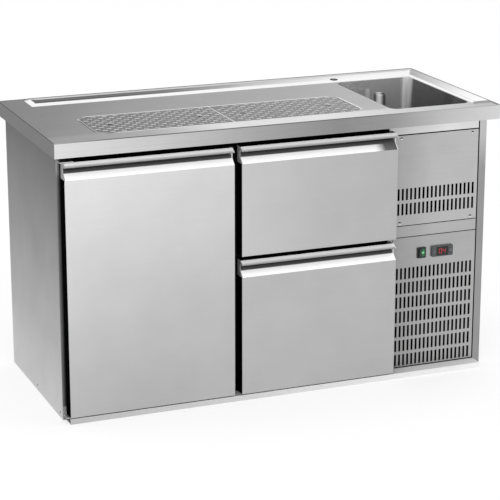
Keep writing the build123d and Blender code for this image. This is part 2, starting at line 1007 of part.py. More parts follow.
make_front(
    "door",
    door_left,
    door_right,
    front_bottom,
    front_top,
    (gasket_inset, gasket_side_inset, seal_top_inset, seal_bottom_inset),
    [low_hole, high_hole],
)
make_front(
    "upper_drawer",
    drawer_left,
    drawer_right,
    upper_bottom,
    front_top,
    (gasket_side_inset, drawer_seal_right, seal_top_inset, seal_split_inset),
    [],
)
make_front(
    "lower_drawer",
    drawer_left,
    drawer_right,
    front_bottom,
    lower_top,
    (gasket_side_inset, drawer_seal_right, seal_split_inset, seal_bottom_inset),
    [],
)


# Hinges of the door
def make_hinge_bracket(plate_low, leg_low, leg_high):
    """Angle bracket with a plate across the gap and a leg on the body front."""
    left = body_left + panel_sheet
    right = hinge_x + hinge_plate_width / 2
    front = hinge_y - hinge_plate_width / 3
    plate = block(left, right, front, body_front, plate_low, plate_low + hinge_plate)
    leg = block(left, door_left - hinge_clear, body_front - hinge_plate, body_front, leg_low, leg_high)
    return plate + leg - hinge_hole(plate_low, plate_low + hinge_plate)


top_plate = front_top + hinge_clear
bottom_bracket = make_hinge_bracket(base_height, base_height, base_height + hinge_leg)
top_bracket = make_hinge_bracket(top_plate, top_plate, edge_bottom - hinge_clear)
low_pin = rod(
    (hinge_x, hinge_y, base_height),
    (hinge_x, hinge_y, front_bottom + hinge_pin_depth),
    hinge_pin_radius,
)
high_pin = rod(
    (hinge_x, hinge_y, front_top - hinge_pin_depth),
    (hinge_x, hinge_y, top_plate + hinge_plate),
    hinge_pin_radius,
)
save("hinge_brackets", Compound([bottom_bracket, top_bracket]))
save("hinge_pins", Compound([low_pin, high_pin]))


# Drawer boxes with their own rail members, and the middle members
def make_drawer_box(rail_bottom):
    """Box of five welded sheets that carries the drawer's rail members on its sides."""
    left = left_rail_face + rail_depth
    right = right_rail_face - rail_depth
    front = front_back + plug_depth
    back = front + box_length
    low = rail_bottom - box_lift
    floor_top = low + box_sheet
    high = low + box_wall_height
    end_left = left + box_sheet
    end_right = right - box_sheet
    sheets = [
        block(left, right, front, back, low, floor_top),
        block(left, end_left, front, back, floor_top, high),
        block(end_right, right, front, back, floor_top, high),
        block(end_left, end_right, front, front + box_sheet, floor_top, high),
        block(end_left, end_right, back - box_sheet, back, floor_top, high),
    ]
    return Compound(sheets + rail_pair(rail_bottom, 2, back))


save("upper_drawer_box", make_drawer_box(upper_rail_z))
save("lower_drawer_box", make_drawer_box(lower_rail_z))
save("upper_middle_rails", Compound(rail_pair(upper_rail_z, 1, rail_back)))
save("lower_middle_rails", Compound(rail_pair(lower_rail_z, 1, rail_back)))

# Front of the machine compartment
panel_top = edge_bottom - top_strip_height - panel_line
grille_bottom = base_height + panel_line
grille_top = grille_bottom + grille_height
strip_bottom = grille_top + panel_joint
strip_top = strip_bottom + strip_height
service_bottom = strip_top + panel_joint
controls_z = grille_top - controls_below_top
switch_x = panel_left + switch_offset + switch_width / 2
thermostat_x = panel_left + thermostat_offset + thermostat_width / 2
slot_columns = int((panel_width - 2 * slot_side_margin - slot_width) / slot_pitch) + 1
grille_start = grille_bottom + grille_slot_margin
grille_room = controls_z - switch_height / 2 - grille_controls_gap - grille_start
grille_rows = int((grille_room - slot_length) / slot_row_pitch) + 1
first_slot = panel_middle - ((slot_columns - 1) * slot_pitch + slot_width) / 2
screw_places = [
    (x, z)
    for x in (panel_left + screw_inset_x, panel_right - screw_inset_x)
    for z in (service_bottom + screw_inset_z, panel_top - screw_inset_z)
]
post_back = inner_front + post_sheet
right_post = inner_right - post_width - panel_right_gap


def make_machine_frame():
    """Stiles and top strip that carry the panels of the machine compartment."""
    left_outline = [
        (partition_right, body_front),
        (panel_left - panel_right_gap, body_front),
        (panel_left - panel_right_gap, inner_front),
        (partition_right + post_width, inner_front),
        (partition_right + post_width, post_back),
        (partition_right + post_sheet, post_back),
        (partition_right + post_sheet, inner_front + post_leg),
        (partition_right, inner_front + post_leg),
    ]
    right_outline = [
        (right_post, inner_front),
        (inner_right, inner_front),
        (inner_right, inner_front + post_leg),
        (inner_right - post_sheet, inner_front + post_leg),
        (inner_right - post_sheet, post_back),
        (right_post, post_back),
    ]
    left = prism_z(left_outline, base_sheet, edge_bottom)
    right = prism_z(right_outline, base_sheet, edge_bottom)
    strip_left = panel_left - panel_right_gap
    strip_right = body_right - side_flange
    top = block(strip_left, strip_right, body_front, inner_front, panel_top + panel_line, edge_bottom)
    frame = left + right + top
    for x, z in screw_places:
        hole = rod((x, inner_front, z), (x, post_back, z), screw_radius + screw_clearance)
        frame = frame - hole
    return frame


def slot_grid(bottom, rows):
    """Outlines of a field of upright vent slots."""
    holes = []
    for row in range(rows):
        z = bottom + row * slot_row_pitch
        for column in range(slot_columns):
            x = first_slot + column * slot_pitch
            holes.append(upright_rectangle(x, x + slot_width, z, z + slot_length, body_front))
    return holes


def make_panel(bottom, top, holes):
    """Front sheet with cut-outs and short stiffening returns top and bottom."""
    outer = upright_rectangle(panel_left, panel_right, bottom, top, body_front)
    sheet = extrude(Face(outer, holes), amount=panel_sheet, dir=(0, 1, 0))
    left = partition_right + post_width + panel_joint
    right = right_post - panel_joint
    back = inner_front + panel_return
    low = block(left, right, inner_front, back, bottom, bottom + panel_sheet)
    high = block(left, right, inner_front, back, top - panel_sheet, top)
    return sheet + low + high


def make_service_panel():
    """Upper panel: two rows of slots and four screw holes."""
    holes = slot_grid(service_bottom + service_slot_margin, service_rows)
    for x, z in screw_places:
        place = Plane(origin=(x, body_front, z), z_dir=(0, 1, 0))
        holes.append(Wire.make_circle(screw_radius + screw_clearance, place))
    return make_panel(service_bottom, panel_top, holes)


def control_hole(middle, width, height):
    """Cut-out in the lower panel for the body of a control."""
    half = width / 2 - control_body_inset + weld_gap
    tall = height / 2 - control_body_inset + weld_gap
    return upright_rectangle(middle - half, middle + half, controls_z - tall, controls_z + tall, body_front)


def make_grille_panel():
    """Lower panel: rows of slots below the switch and the thermostat."""
    holes = slot_grid(grille_start, grille_rows)
    holes.append(control_hole(switch_x, switch_width, switch_height))
    holes.append(control_hole(thermostat_x, thermostat_width, thermostat_height))
    return make_panel(grille_bottom, grille_top, holes)


def make_screw(x, z):
    """Pan-head screw through panel and stile."""
    head = rod((x, body_front - screw_head_height, z), (x, body_front, z), screw_head_radius)
    return head + rod((x, body_front, z), (x, inner_front + post_leg, z), screw_radius)


save("machine_frame", make_machine_frame())
save("service_panel", make_service_panel())
save("panel_strip", block(panel_left, panel_right, body_front, inner_front, strip_bottom, strip_top))
save("grille_panel", make_grille_panel())
save("panel_screws", Compound([make_screw(x, z) for x, z in screw_places]))

# Rocker switch
control_wall = control_body_inset + panel_sheet
pocket_width = switch_width - 2 * control_wall
pocket_height = switch_height - 2 * control_wall
rocker_height = pocket_height - 2 * rocker_gap
rocker_swing = math.sin(math.radians(rocker_tilt))
rocker_half = pocket_width / 2 - rocker_gap - (switch_bezel + rocker_proud) * rocker_swing


def control_shell(middle, width, height, proud, depth):
    """Bezel on the panel face with a body that passes through the panel."""
    bezel = block(
        middle - width / 2,
        middle + width / 2,
        body_front - proud,
        body_front,
        controls_z - height / 2,
        controls_z + height / 2,
    )
    bezel = fillet(bezel.edges().filter_by(Axis.Y), bezel_corner)
    inset = control_body_inset
    body = block(
        middle - width / 2 + inset,
        middle + width / 2 - inset,
        body_front,
        body_front + depth,
        controls_z - height / 2 + inset,
        controls_z + height / 2 - inset,
    )
    return bezel + body


def make_switch_housing():
    """Switch bezel and body with a pocket for the rocker."""
    shell = control_shell(switch_x, switch_width, switch_height, switch_bezel, switch_depth)
    pocket = block(
        switch_x - pocket_width / 2,
        switch_x + pocket_width / 2,
        body_front - switch_bezel,
        body_front + rocker_pocket,
        controls_z - pocket_height / 2,
        controls_z + pocket_height / 2,
    )
    return shell - pocket


def make_rocker():
    """Rocker with two dished halves, built in its on position."""
    front = body_front - switch_bezel - rocker_proud
    dip = front + rocker_proud
    back = body_front + rocker_back
    outline = [
        (switch_x - rocker_half, front),
        (switch_x, dip),
        (switch_x + rocker_half, front),
        (switch_x + rocker_half - rocker_proud, back),
        (switch_x - rocker_half + rocker_proud, back),
    ]
    rocker = prism_z(outline, controls_z - rocker_height / 2, controls_z + rocker_height / 2)
    pivot = Axis((switch_x, body_front, controls_z), up)
    return rocker.rotate(pivot, rocker_tilt)


save("switch_housing", make_switch_housing())
save("switch_rocker", make_rocker())

# Thermostat with its window and two keys
bezel_front = body_front - thermostat_bezel
key_offset = (window_width + thermostat_width - 2 * bezel_corner) / 4 + key_width / 4


def front_block(middle, width, height, y0, y1):
    """Block centred on the line of the controls."""
    return block(
        middle - width / 2,
        middle + width / 2,
        y0,
        y1,
        controls_z - height / 2,
        controls_z + height / 2,
    )


def make_thermostat_case():
    """Thermostat bezel and body with pockets for the window and the keys."""
    shell = control_shell(
        thermostat_x, thermostat_width, thermostat_height, thermostat_bezel, thermostat_body_depth
    )
    window = front_block(
        thermostat_x,
        window_width + 2 * weld_gap,
        window_height + 2 * weld_gap,
        bezel_front,
        bezel_front + window_depth,
    )
    case = shell - window
    for side in (-1, 1):
        pocket = front_block(
            thermostat_x + side * key_offset,
            key_width + 2 * slide_clearance,
            key_height + 2 * slide_clearance,
            bezel_front,
            bezel_front + key_depth + key_travel + weld_gap,
        )
        case = case - pocket
    return case


def make_key(side):
    """Membrane-style push key beside the window."""
    middle = thermostat_x + side * key_offset
    key = front_block(middle, key_width, key_height, bezel_front - key_proud, bezel_front + key_depth)
    return fillet(key.edges().group_by(Axis.Y)[0], key_proud / 2)


save("thermostat_case", make_thermostat_case())
save(
    "thermostat_window",
    front_block(thermostat_x, window_width, window_height, bezel_front, bezel_front + window_depth),
)
save("thermostat_key_left", make_key(-1))
save("thermostat_key_right", make_key(1))

# Condensing unit behind the grille
condenser_left = panel_left + machine_margin
condenser_right = panel_right - machine_margin
condenser_front = inner_front + condenser_setback
condenser_back = condenser_front + condenser_depth
condenser_top = condenser_bottom + condenser_height
fan_z = condenser_bottom + condenser_height / 2


def comb(start, finish, front, back, count, groove):
    """Outline of a finned block with grooves on both faces, as (along, across) points."""
    pitch = (finish - start) / count
    near = []
    far = []
    for step in range(count):
        a = start + step * pitch
        b = a + pitch / 2
        c = a + pitch
        near += [(a, front), (b, front), (b, front + groove), (c, front + groove)]
        far += [(a, back), (b, back), (b, back - groove), (c, back - groove)]
    return near + far[::-1]


def make_condenser():
    """Finned coil between end plates that stand on the base pan."""
    fins = comb(condenser_left, condenser_right, condenser_front, condenser_back, fin_count, fin_groove)
    coil = prism_z(fins, condenser_bottom, condenser_top)
    for x in (condenser_left - end_plate, condenser_right):
        plate = block(x, x + end_plate, condenser_front, condenser_back, base_sheet, condenser_top)
        coil = coil + plate
    return coil


def make_fan(radius):
    """Fan about the Z axis: bored hub and pitched blades."""
    wheel = Cylinder(hub_radius, hub_length)
    tip_chord = radius * blade_tip_ratio
    root_x = hub_radius - 2 * blade_thickness
    tip_x = math.sqrt(radius**2 - (tip_chord / 2) ** 2)
    ends = ((root_x, blade_root_chord, blade_root_pitch), (tip_x, tip_chord, blade_tip_pitch))
    for step in range(blade_count):
        sections = []
        for x, chord, pitch in ends:
            place = Pos(x, 0, 0) * Rot(pitch, 0, 0) * Rot(0, 90, 0)
            sections.append(place * Rectangle(blade_thickness, chord))
        blade = loft(sections, ruled=True)
        wheel = wheel + Rot(0, 0, 360 * step / blade_count) * blade
    return wheel - Cylinder(shaft_radius + shaft_fit, hub_length)


shroud_back = condenser_back + shroud_depth
motor_front = shroud_back - 2 * arm_radius
fan_y = motor_front - fan_running_gap - hub_length / 2


def make_fan_housing():
    """Shroud plate with a ring, three arms, motor and shaft."""
    plate_back = condenser_back + end_plate
    plate = block(
        condenser_left, condenser_right, condenser_back, plate_back, condenser_bottom, condenser_top
    )
    clear = fan_radius + fan_ring_gap
    centre = (panel_middle, condenser_back, fan_z)
    finish = (panel_middle, shroud_back, fan_z)
    housing = plate + rod(centre, finish, clear + end_plate) - rod(centre, finish, clear)
    reach = clear + end_plate / 2
    for step in range(arm_count):
        angle = math.radians(90 + 360 * step / arm_count)
        tip = (panel_middle + reach * math.cos(angle), shroud_back, fan_z + reach * math.sin(angle))
        housing = housing + rod(finish, tip, arm_radius)
    motor_start = (panel_middle, motor_front, fan_z)
    motor = rod(motor_start, (panel_middle, motor_front + motor_length, fan_z), motor_radius)
    motor = fillet(motor.edges().group_by(Axis.Y)[-1], motor_radius / 4)
    shaft = rod((panel_middle, fan_y - hub_length / 2, fan_z), finish, shaft_radius)
    return housing + motor + shaft


def make_compressor():
    """Hermetic compressor with domed ends, weld seam, base plate and rubber feet."""
    shell = Cylinder(compressor_radius, compressor_height)
    shell = fillet(shell.edges().filter_by(GeomType.CIRCLE), compressor_radius / 2)
    seam = Cylinder(compressor_radius + compressor_seam, compressor_seam)
    half = compressor_height / 2
    plate = Pos(0, 0, -half) * Box(compressor_plate_length, compressor_plate_depth, compressor_plate)
    whole = shell + seam + plate
    for x in (-compressor_foot_x, compressor_foot_x):
        for y in (-compressor_foot_y, compressor_foot_y):
            foot = Cylinder(compressor_foot, compressor_foot)
            whole = whole + Pos(x, y, -half - compressor_foot / 2) * foot
    terminal = Box(terminal_width, terminal_depth, terminal_height)
    return whole + Pos(0, -compressor_radius, 0) * terminal


compressor_y = inner_back - compressor_from_back
compressor_z = base_sheet + compressor_foot + compressor_height / 2
compressor_top = compressor_z + compressor_height / 2

save("condenser", make_condenser())
save("fan_housing", make_fan_housing())
facing_front = Pos(panel_middle, fan_y, fan_z) * Rot(90, 0, 0)
save("condenser_fan", facing_front * make_fan(fan_radius))
save("compressor", Pos(panel_middle, compressor_y, compressor_z) * make_compressor())

# Evaporator behind the mullion with its fan
evaporator_left = mullion_middle - evaporator_width / 2
evaporator_right = mullion_middle + evaporator_width / 2
evaporator_top = clear_ceiling - evaporator_drop
evaporator_z = evaporator_top - evaporator_height / 2
evaporator_start = -evaporator_length / 2
evaporator_finish = evaporator_length / 2
cold_fan_x = evaporator_left - cold_motor_length - fan_running_gap - hub_length / 2


def make_evaporator():
    """Finned coil hung from the liner ceiling, with the motor of its fan."""
    points = comb(
        evaporator_start, evaporator_finish, evaporator_left, evaporator_right, fin_count, fin_groove
    )
    outline = [(across, along) for along, across in points]
    coil = prism_z(outline, evaporator_top - evaporator_height, evaporator_top)
    low = evaporator_top - evaporator_height
    for y in (evaporator_start - end_plate, evaporator_finish):
        coil = coil + block(evaporator_left, evaporator_right, y, y + end_plate, low, clear_ceiling)
    inside = evaporator_left + fin_groove + end_plate
    face = evaporator_left - cold_motor_length
    motor = rod((inside, 0, evaporator_z), (face, 0, evaporator_z), motor_radius)
    shaft = rod((face, 0, evaporator_z), (cold_fan_x - hub_length / 2, 0, evaporator_z), shaft_radius)
    return coil + motor + shaft


save("evaporator", make_evaporator())
facing_left = Pos(cold_fan_x, 0, evaporator_z) * Rot(0, 90, 0)
save("evaporator_fan", facing_left * make_fan(evaporator_fan_radius))


# Refrigerant lines
def pipe(points, radius):
    """Bent tube through a list of points."""
    path = FilletPolyline(*points, radius=bend_radius)
    start = Plane(origin=points[0], z_dir=Vector(*points[1]) - Vector(*points[0]))
    return sweep(start * Circle(radius), path)


condenser_middle = (condenser_front + condenser_back) / 2
suction_x = panel_middle - line_spacing
liquid_x = panel_middle - 2 * line_spacing
hot_x = panel_middle + line_spacing
run_z = condenser_top + run_rise
suction_z = port_z - port_radius / 2
liquid_z = port_z + port_radius / 2
drier_low = run_z + 3 * bend_radius


def make_pipework():
    """Discharge, liquid and suction lines of the refrigeration circuit."""
    discharge = pipe(
        [
            (hot_x, compressor_y, compressor_top),
            (hot_x, compressor_y, run_z),
            (hot_x, condenser_middle, run_z),
            (hot_x, condenser_middle, condenser_top),
        ],
        line_radius,
    )
    liquid = pipe(
        [
            (liquid_x, condenser_middle, condenser_top),
            (liquid_x, condenser_middle, run_z + bend_radius),
            (liquid_x, port_y, run_z + bend_radius),
            (liquid_x, port_y, liquid_z),
            (mullion_middle, port_y, liquid_z),
            (mullion_middle, evaporator_finish + end_plate, liquid_z),
        ],
        line_radius,
    )
    drier = rod((liquid_x, port_y, drier_low), (liquid_x, port_y, drier_low + drier_length), drier_radius)
    drier = fillet(drier.edges().filter_by(GeomType.CIRCLE), drier_radius / 2)
    suction = pipe(
        [
            (suction_x, compressor_y, compressor_top),
            (suction_x, compressor_y, run_z),
            (suction_x, port_y, run_z),
            (suction_x, port_y, suction_z),
            (mullion_middle, port_y, suction_z),
            (mullion_middle, evaporator_finish + end_plate, suction_z),
        ],
        suction_radius,
    )
    return Compound([discharge.solid(), (liquid + drier).solid(), suction.solid()])


save("pipework", make_pipework())

# Wire shelf and its rails behind the door
shelf_left = clear_left + shelf_gap
shelf_right = mullion_left + shelf_angle - shelf_angle_sheet - shelf_gap
shelf_front = mullion_back + shelf_gap
shelf_back = clear_back - shelf_gap


def make_shelf_rail(wall, inward, front):
    """Angle rail that carries one side of the shelf."""
    tip = wall + inward * shelf_angle
    leg = wall + inward * shelf_angle_sheet
    under = shelf_height - shelf_angle_sheet
    outline = [
        (wall, shelf_height),
        (tip, shelf_height),
        (tip, under),
        (leg, under),
        (leg, shelf_height - shelf_angle),
        (wall, shelf_height - shelf_angle),
    ]
    return prism_y(outline, front, clear_back)


def make_shelf():
    """Wire shelf: a frame of rods with wires across it."""
    rod_z = shelf_height + shelf_rod
    wire_z = rod_z + shelf_rod + shelf_wire / 2
    inset = shelf_rod
    frame = None
    for y in (shelf_front + inset, shelf_back - inset):
        bar = rod((shelf_left, y, rod_z), (shelf_right, y, rod_z), shelf_rod)
        frame = bar if frame is None else frame + bar
    wires = []
    span = shelf_right - shelf_left - 2 * inset
    for step in range(shelf_wires):
        x = shelf_left + inset + span * step / (shelf_wires - 1)
        wires.append(rod((x, shelf_front, wire_z), (x, shelf_back, wire_z), shelf_wire))
    return frame + wires


right_rail = make_shelf_rail(mullion_left + shelf_angle, -1, mullion_back)
save("shelf_rails", Compound([make_shelf_rail(clear_left, 1, inner_front), right_rail]))
save("wire_shelf", make_shelf())
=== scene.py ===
"""Looks of the refrigerated beer dispensing counter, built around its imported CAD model."""
import bpy
import math
from mathutils import Matrix, Vector

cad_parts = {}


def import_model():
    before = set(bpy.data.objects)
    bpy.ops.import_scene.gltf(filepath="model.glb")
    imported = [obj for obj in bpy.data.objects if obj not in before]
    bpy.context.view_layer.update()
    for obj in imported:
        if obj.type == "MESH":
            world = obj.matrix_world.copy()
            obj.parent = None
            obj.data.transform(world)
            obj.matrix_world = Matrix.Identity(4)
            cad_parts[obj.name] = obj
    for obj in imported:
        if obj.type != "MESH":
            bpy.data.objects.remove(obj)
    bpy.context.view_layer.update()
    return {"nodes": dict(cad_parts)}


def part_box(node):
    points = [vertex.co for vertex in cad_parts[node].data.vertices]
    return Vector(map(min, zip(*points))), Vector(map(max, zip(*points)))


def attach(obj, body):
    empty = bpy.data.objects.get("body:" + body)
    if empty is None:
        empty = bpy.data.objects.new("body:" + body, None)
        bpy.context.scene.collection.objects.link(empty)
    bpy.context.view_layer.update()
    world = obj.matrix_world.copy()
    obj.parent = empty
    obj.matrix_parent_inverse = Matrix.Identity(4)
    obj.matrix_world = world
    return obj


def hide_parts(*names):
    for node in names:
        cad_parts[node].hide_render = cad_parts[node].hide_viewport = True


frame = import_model()
nodes = frame["nodes"]


# Material building blocks
plain = (1.0, 1.0, 1.0)
cool = (0.94, 1.0, 1.08)
crisp = 0.0004
rightward = (1, 0, 0)
leftward = (-1, 0, 0)
backward = (0, 1, 0)
frontward = (0, -1, 0)
upward = (0, 0, 1)
downward = (0, 0, -1)


def start_finish(name):
    """New material with its shader; returns the material, its node tree and the shader."""
    finish = bpy.data.materials.new(name)
    finish.use_nodes = True
    tree = finish.node_tree
    return finish, tree, tree.nodes["Principled BSDF"]


def feed(tree, node, inputs):
    """Gives a node's inputs their values, or links them to the outputs of other nodes."""
    for name, source in inputs.items():
        if isinstance(source, bpy.types.NodeSocket):
            tree.links.new(source, node.inputs[name])
        else:
            node.inputs[name].default_value = source


def add_node(tree, kind, inputs, operation=None):
    """New node with its inputs, and its operation if it has one."""
    node = tree.nodes.new(kind)
    if operation:
        node.operation = operation
    feed(tree, node, inputs)
    return node


def grey(level):
    """Linear value of a display grey between 0 and 255."""
    share = level / 255
    if share <= 0.04045:
        return share / 12.92
    return ((share + 0.055) / 1.055) ** 2.4


def tone(level, tint=plain):
    """Linear colour of a display grey with a slight tint."""
    value = grey(level)
    return (value * tint[0], value * tint[1], value * tint[2], 1.0)


def position_node(tree):
    """Object coordinates, which are metres in the counter's frame."""
    return tree.nodes.new("ShaderNodeTexCoord").outputs["Object"]


def even(scale):
    """The same scale along each axis."""
    return (scale, scale, scale)


def drawn_out(axis, along, across):
    """A small scale along one axis and a large one across it, which draws a grain out."""
    return tuple(along if letter == axis else across for letter in "xyz")


def grain_node(tree, scale, detail=4.0, roughness=0.6):
    """Noise with a scale of its own along each axis."""
    mapping = add_node(tree, "ShaderNodeMapping", {"Vector": position_node(tree), "Scale": scale})
    inputs = {"Vector": mapping.outputs["Vector"], "Scale": 1.0, "Detail": detail, "Roughness": roughness}
    return add_node(tree, "ShaderNodeTexNoise", inputs).outputs["Fac"]


def spread_node(tree, source, low, high, start=0.0, finish=1.0):
    """Remaps a value from one span to another."""
    inputs = {"Value": source, "From Min": start, "From Max": finish, "To Min": low, "To Max": high}
    return add_node(tree, "ShaderNodeMapRange", inputs).outputs["Result"]


def along_node(tree, direction, start, finish):
    """Share of the way along a direction, from a start to a finish in metres."""
    inputs = {0: position_node(tree), 1: direction}
    node = add_node(tree, "ShaderNodeVectorMath", inputs, "DOT_PRODUCT")
    return spread_node(tree, node.outputs["Value"], 0.0, 1.0, start, finish)


def ramp_node(tree, source, stops):
    """Colours along a value; stops are (place, colour)."""
    node = add_node(tree, "ShaderNodeValToRGB", {"Fac": source})
    ramp = node.color_ramp
    for element, (place, colour) in zip(ramp.elements, (stops[0], stops[-1])):
        element.position = place
        element.color = colour
    for place, colour in stops[1:-1]:
        ramp.elements.new(place).color = colour
    return node.outputs["Color"]


def grey_ramp(tree, direction, span, shades):
    """Greys along a direction; shades are (share of the span, display grey)."""
    stops = [(place, tone(level)) for place, level in shades]
    return ramp_node(tree, along_node(tree, direction, *span), stops)


def over_node(tree, factor, under, colour):
    """Lays a colour, or another colour link, over the one below by a factor."""
    node = tree.nodes.new("ShaderNodeMix")
    node.data_type = "RGBA"
    sockets = {socket.name: socket for socket in node.inputs if socket.type == "RGBA"}
    tree.links.new(factor, node.inputs[0])
    tree.links.new(under, sockets["A"])
    if isinstance(colour, tuple):
        sockets["B"].default_value = colour
    else:
        tree.links.new(colour, sockets["B"])
    return next(socket for socket in node.outputs if socket.type == "RGBA")


def both_node(tree, first, second):
    """Product of two factors."""
    return add_node(tree, "ShaderNodeMath", {0: first, 1: second}, "MULTIPLY").outputs["Value"]


def times_node(tree, colour, factor):
    """Colour scaled by a value."""
    inputs = {0: colour, "Scale": factor}
    return add_node(tree, "ShaderNodeVectorMath", inputs, "SCALE").outputs["Vector"]


def relief_node(tree, shader, height, distance, strength):
    """Bump from a height value."""
    inputs = {"Height": height, "Distance": distance, "Strength": strength}
    bump = add_node(tree, "ShaderNodeBump", inputs)
    feed(tree, shader, {"Normal": bump.outputs["Normal"]})


# Edges of paints, each a direction, a start along it and the width of its blur
def right_of(x, blur=crisp):
    """All to the right of a place."""
    return rightward, x, blur


def left_of(x, blur=crisp):
    """All to the left of a place."""
    return leftward, -x, blur


def behind(y, blur=crisp):
    """All behind a place."""
    return backward, y, blur


def before(y, blur=crisp):
    """All in front of a place."""
    return frontward, -y, blur


def above(z, blur=crisp):
    """All above a height."""
    return upward, z, blur


def below(z, blur=crisp):
    """All below a height."""
    return downward, -z, blur


def past_node(tree, *edges):
    """Factor that is full past all the edges given."""
    factor = None
    for direction, start, blur in edges:
        past = along_node(tree, direction, start, start + blur)
        factor = past if factor is None else both_node(tree, factor, past)
    return factor


def lay(tree, under, colour, *edges):
    """Lays a colour over the one below, past all the edges given."""
    return over_node(tree, past_node(tree, *edges), under, colour)


def dim(tree, colour, share, *edges):
    """Scales a colour down to a share of itself, past all the edges given."""
    return times_node(tree, colour, spread_node(tree, past_node(tree, *edges), 1.0, share))


def shaded(shades, direction, span):
    """Paint of greys along a direction."""
    def paint(tree):
        return grey_ramp(tree, direction, span, shades)
    return paint


# Kinds of finish
pebble_scale = 700.0
pebble_height = 0.00006
pebble_strength = 0.3


def edge_node(tree, colour):
    """Tint of the glancing shine: none on black faces, held back on grey ones, full on white ones."""
    value = add_node(tree, "ShaderNodeRGBToBW", {"Color": colour}).outputs["Val"]
    white = spread_node(tree, value, 0.55, 1.0, 0.6, 0.85)
    return both_node(tree, white, spread_node(tree, value, 0.03, 1.0, 0.004, 0.06))


def steel_finish(name, paint, brushed="x", rough=0.34, streak=0.05, cloud=0.03, metal=1.0):
    """Brushed stainless sheet; paint gives its colour, in most sheets with painted light, shade and
    reflections, before the brushing is laid on.
    """
    finish, tree, shader = start_finish(name)
    hairs = grain_node(tree, drawn_out(brushed, 9.0, 900.0))
    bands = grain_node(tree, drawn_out(brushed, 1.2, 160.0), 2.0)
    clouds = grain_node(tree, even(6.0), 3.0)
    colour = paint(tree)
    feed(tree, shader, {"Specular Tint": edge_node(tree, colour)})
    colour = times_node(tree, colour, spread_node(tree, hairs, 1 - streak, 1 + streak, 0.25, 0.75))
    colour = times_node(tree, colour, spread_node(tree, bands, 1 - streak / 2, 1 + streak / 2, 0.3, 0.7))
    colour = times_node(tree, colour, spread_node(tree, clouds, 1 - cloud, 1 + cloud, 0.3, 0.7))
    gloss = spread_node(tree, hairs, rough - 0.07, rough + 0.07, 0.2, 0.8)
    feed(tree, shader, {"Base Color": colour, "Roughness": gloss, "Metallic": metal})
    relief_node(tree, shader, hairs, 0.00004, 0.25)
    return finish


def moulded_finish(name, level, rough=0.5, tint=plain, metal=0.0, pebble=pebble_height, shine=0.5):
    """Moulded plastic or paint with a fine pebbled skin."""
    finish, tree, shader = start_finish(name)
    pebbles = grain_node(tree, even(pebble_scale), 3.0)
    patches = grain_node(tree, even(18.0), 3.0)
    colour = ramp_node(tree, patches, [(0.3, tone(level * 0.9, tint)), (0.7, tone(level * 1.08, tint))])
    gloss = spread_node(tree, pebbles, rough - 0.06, rough + 0.06, 0.2, 0.8)
    feed(tree, shader, {"Base Color": colour, "Roughness": gloss, "Metallic": metal})
    feed(tree, shader, {"Specular IOR Level": shine})
    relief_node(tree, shader, pebbles, pebble, pebble_strength)
    return finish


def lined_finish(name, level, lining, plane):
    """Moulded core with a pale lining on all that stands behind a plane."""
    finish, tree, shader = start_finish(name)
    pebbles = grain_node(tree, even(pebble_scale), 3.0)
    colour = ramp_node(tree, pebbles, [(0.3, tone(level * 0.9)), (0.7, tone(level * 1.08))])
    inner = past_node(tree, behind(plane + 0.0002))
    colour = over_node(tree, inner, colour, tone(lining))
    gloss = spread_node(tree, inner, 0.7, 0.4)
    feed(tree, shader, {"Base Color": colour, "Roughness": gloss, "Specular IOR Level": 0.0})
    relief_node(tree, shader, pebbles, pebble_height, pebble_strength)
    return finish


def masked_finish(name, level, low, high):
    """Moulded grey case with a black printed mask round its display."""
    finish, tree, shader = start_finish(name)
    reach = 0.001
    pebbles = grain_node(tree, even(pebble_scale), 3.0)
    colour = ramp_node(tree, pebbles, [(0.3, tone(level * 0.93, cool)), (0.7, tone(level * 1.05, cool))])
    sides = (left_of(high.x + reach), right_of(low.x - reach))
    inside = past_node(tree, *sides, below(high.z + reach), above(low.z - reach))
    colour = over_node(tree, inside, colour, tone(9))
    feed(tree, shader, {"Base Color": colour, "Roughness": spread_node(tree, inside, 0.45, 0.2)})
    relief_node(tree, shader, pebbles, pebble_height, pebble_strength)
    return finish


def fin_finish(name, axis, level):
    """Bare aluminium fins: fine stripes across an axis."""
    finish, tree, shader = start_finish(name)
    inputs = {"Vector": position_node(tree), "Scale": 95.0, "Distortion": 0.15}
    stripes = add_node(tree, "ShaderNodeTexWave", inputs)
    stripes.wave_type = "BANDS"
    stripes.bands_direction = axis
    colour = ramp_node(tree, stripes.outputs["Fac"], [(0.35, tone(8)), (0.65, tone(level))])
    feed(tree, shader, {"Base Color": colour, "Roughness": 0.42, "Metallic": 0.9})
    relief_node(tree, shader, stripes.outputs["Fac"], 0.0012, 0.6)
    return finish


def copper_finish(name):
    """Drawn copper tube with dull patches, and painted shade in near black where it passes in front of the
    condenser.
    """
    finish, tree, shader = start_finish(name)
    dull_copper = (0.36, 0.13, 0.06, 1.0)
    clear_copper = (0.62, 0.27, 0.14, 1.0)
    patches = grain_node(tree, even(30.0), 5.0)
    colour = ramp_node(tree, patches, [(0.3, dull_copper), (0.7, clear_copper)])
    # Painted shade: near black where the tube passes in front of the condenser.
    colour = lay(tree, colour, tone(10), before(-0.17, 0.02))
    gloss = spread_node(tree, patches, 0.5, 0.3, 0.3, 0.7)
    feed(tree, shader, {"Base Color": colour, "Roughness": gloss, "Metallic": 1.0})
    return finish


def foam_finish(name):
    """Cream rigid foam with open cells."""
    finish, tree, shader = start_finish(name)
    deep_cream = (0.72, 0.62, 0.38, 1.0)
    pale_cream = (0.84, 0.77, 0.55, 1.0)
    inputs = {"Vector": position_node(tree), "Scale": 420.0}
    cells = add_node(tree, "ShaderNodeTexVoronoi", inputs).outputs["Distance"]
    colour = ramp_node(tree, cells, [(0.0, deep_cream), (0.6, pale_cream)])
    feed(tree, shader, {"Base Color": colour, "Roughness": 0.9})
    relief_node(tree, shader, cells, 0.0006, 0.5)
    return finish


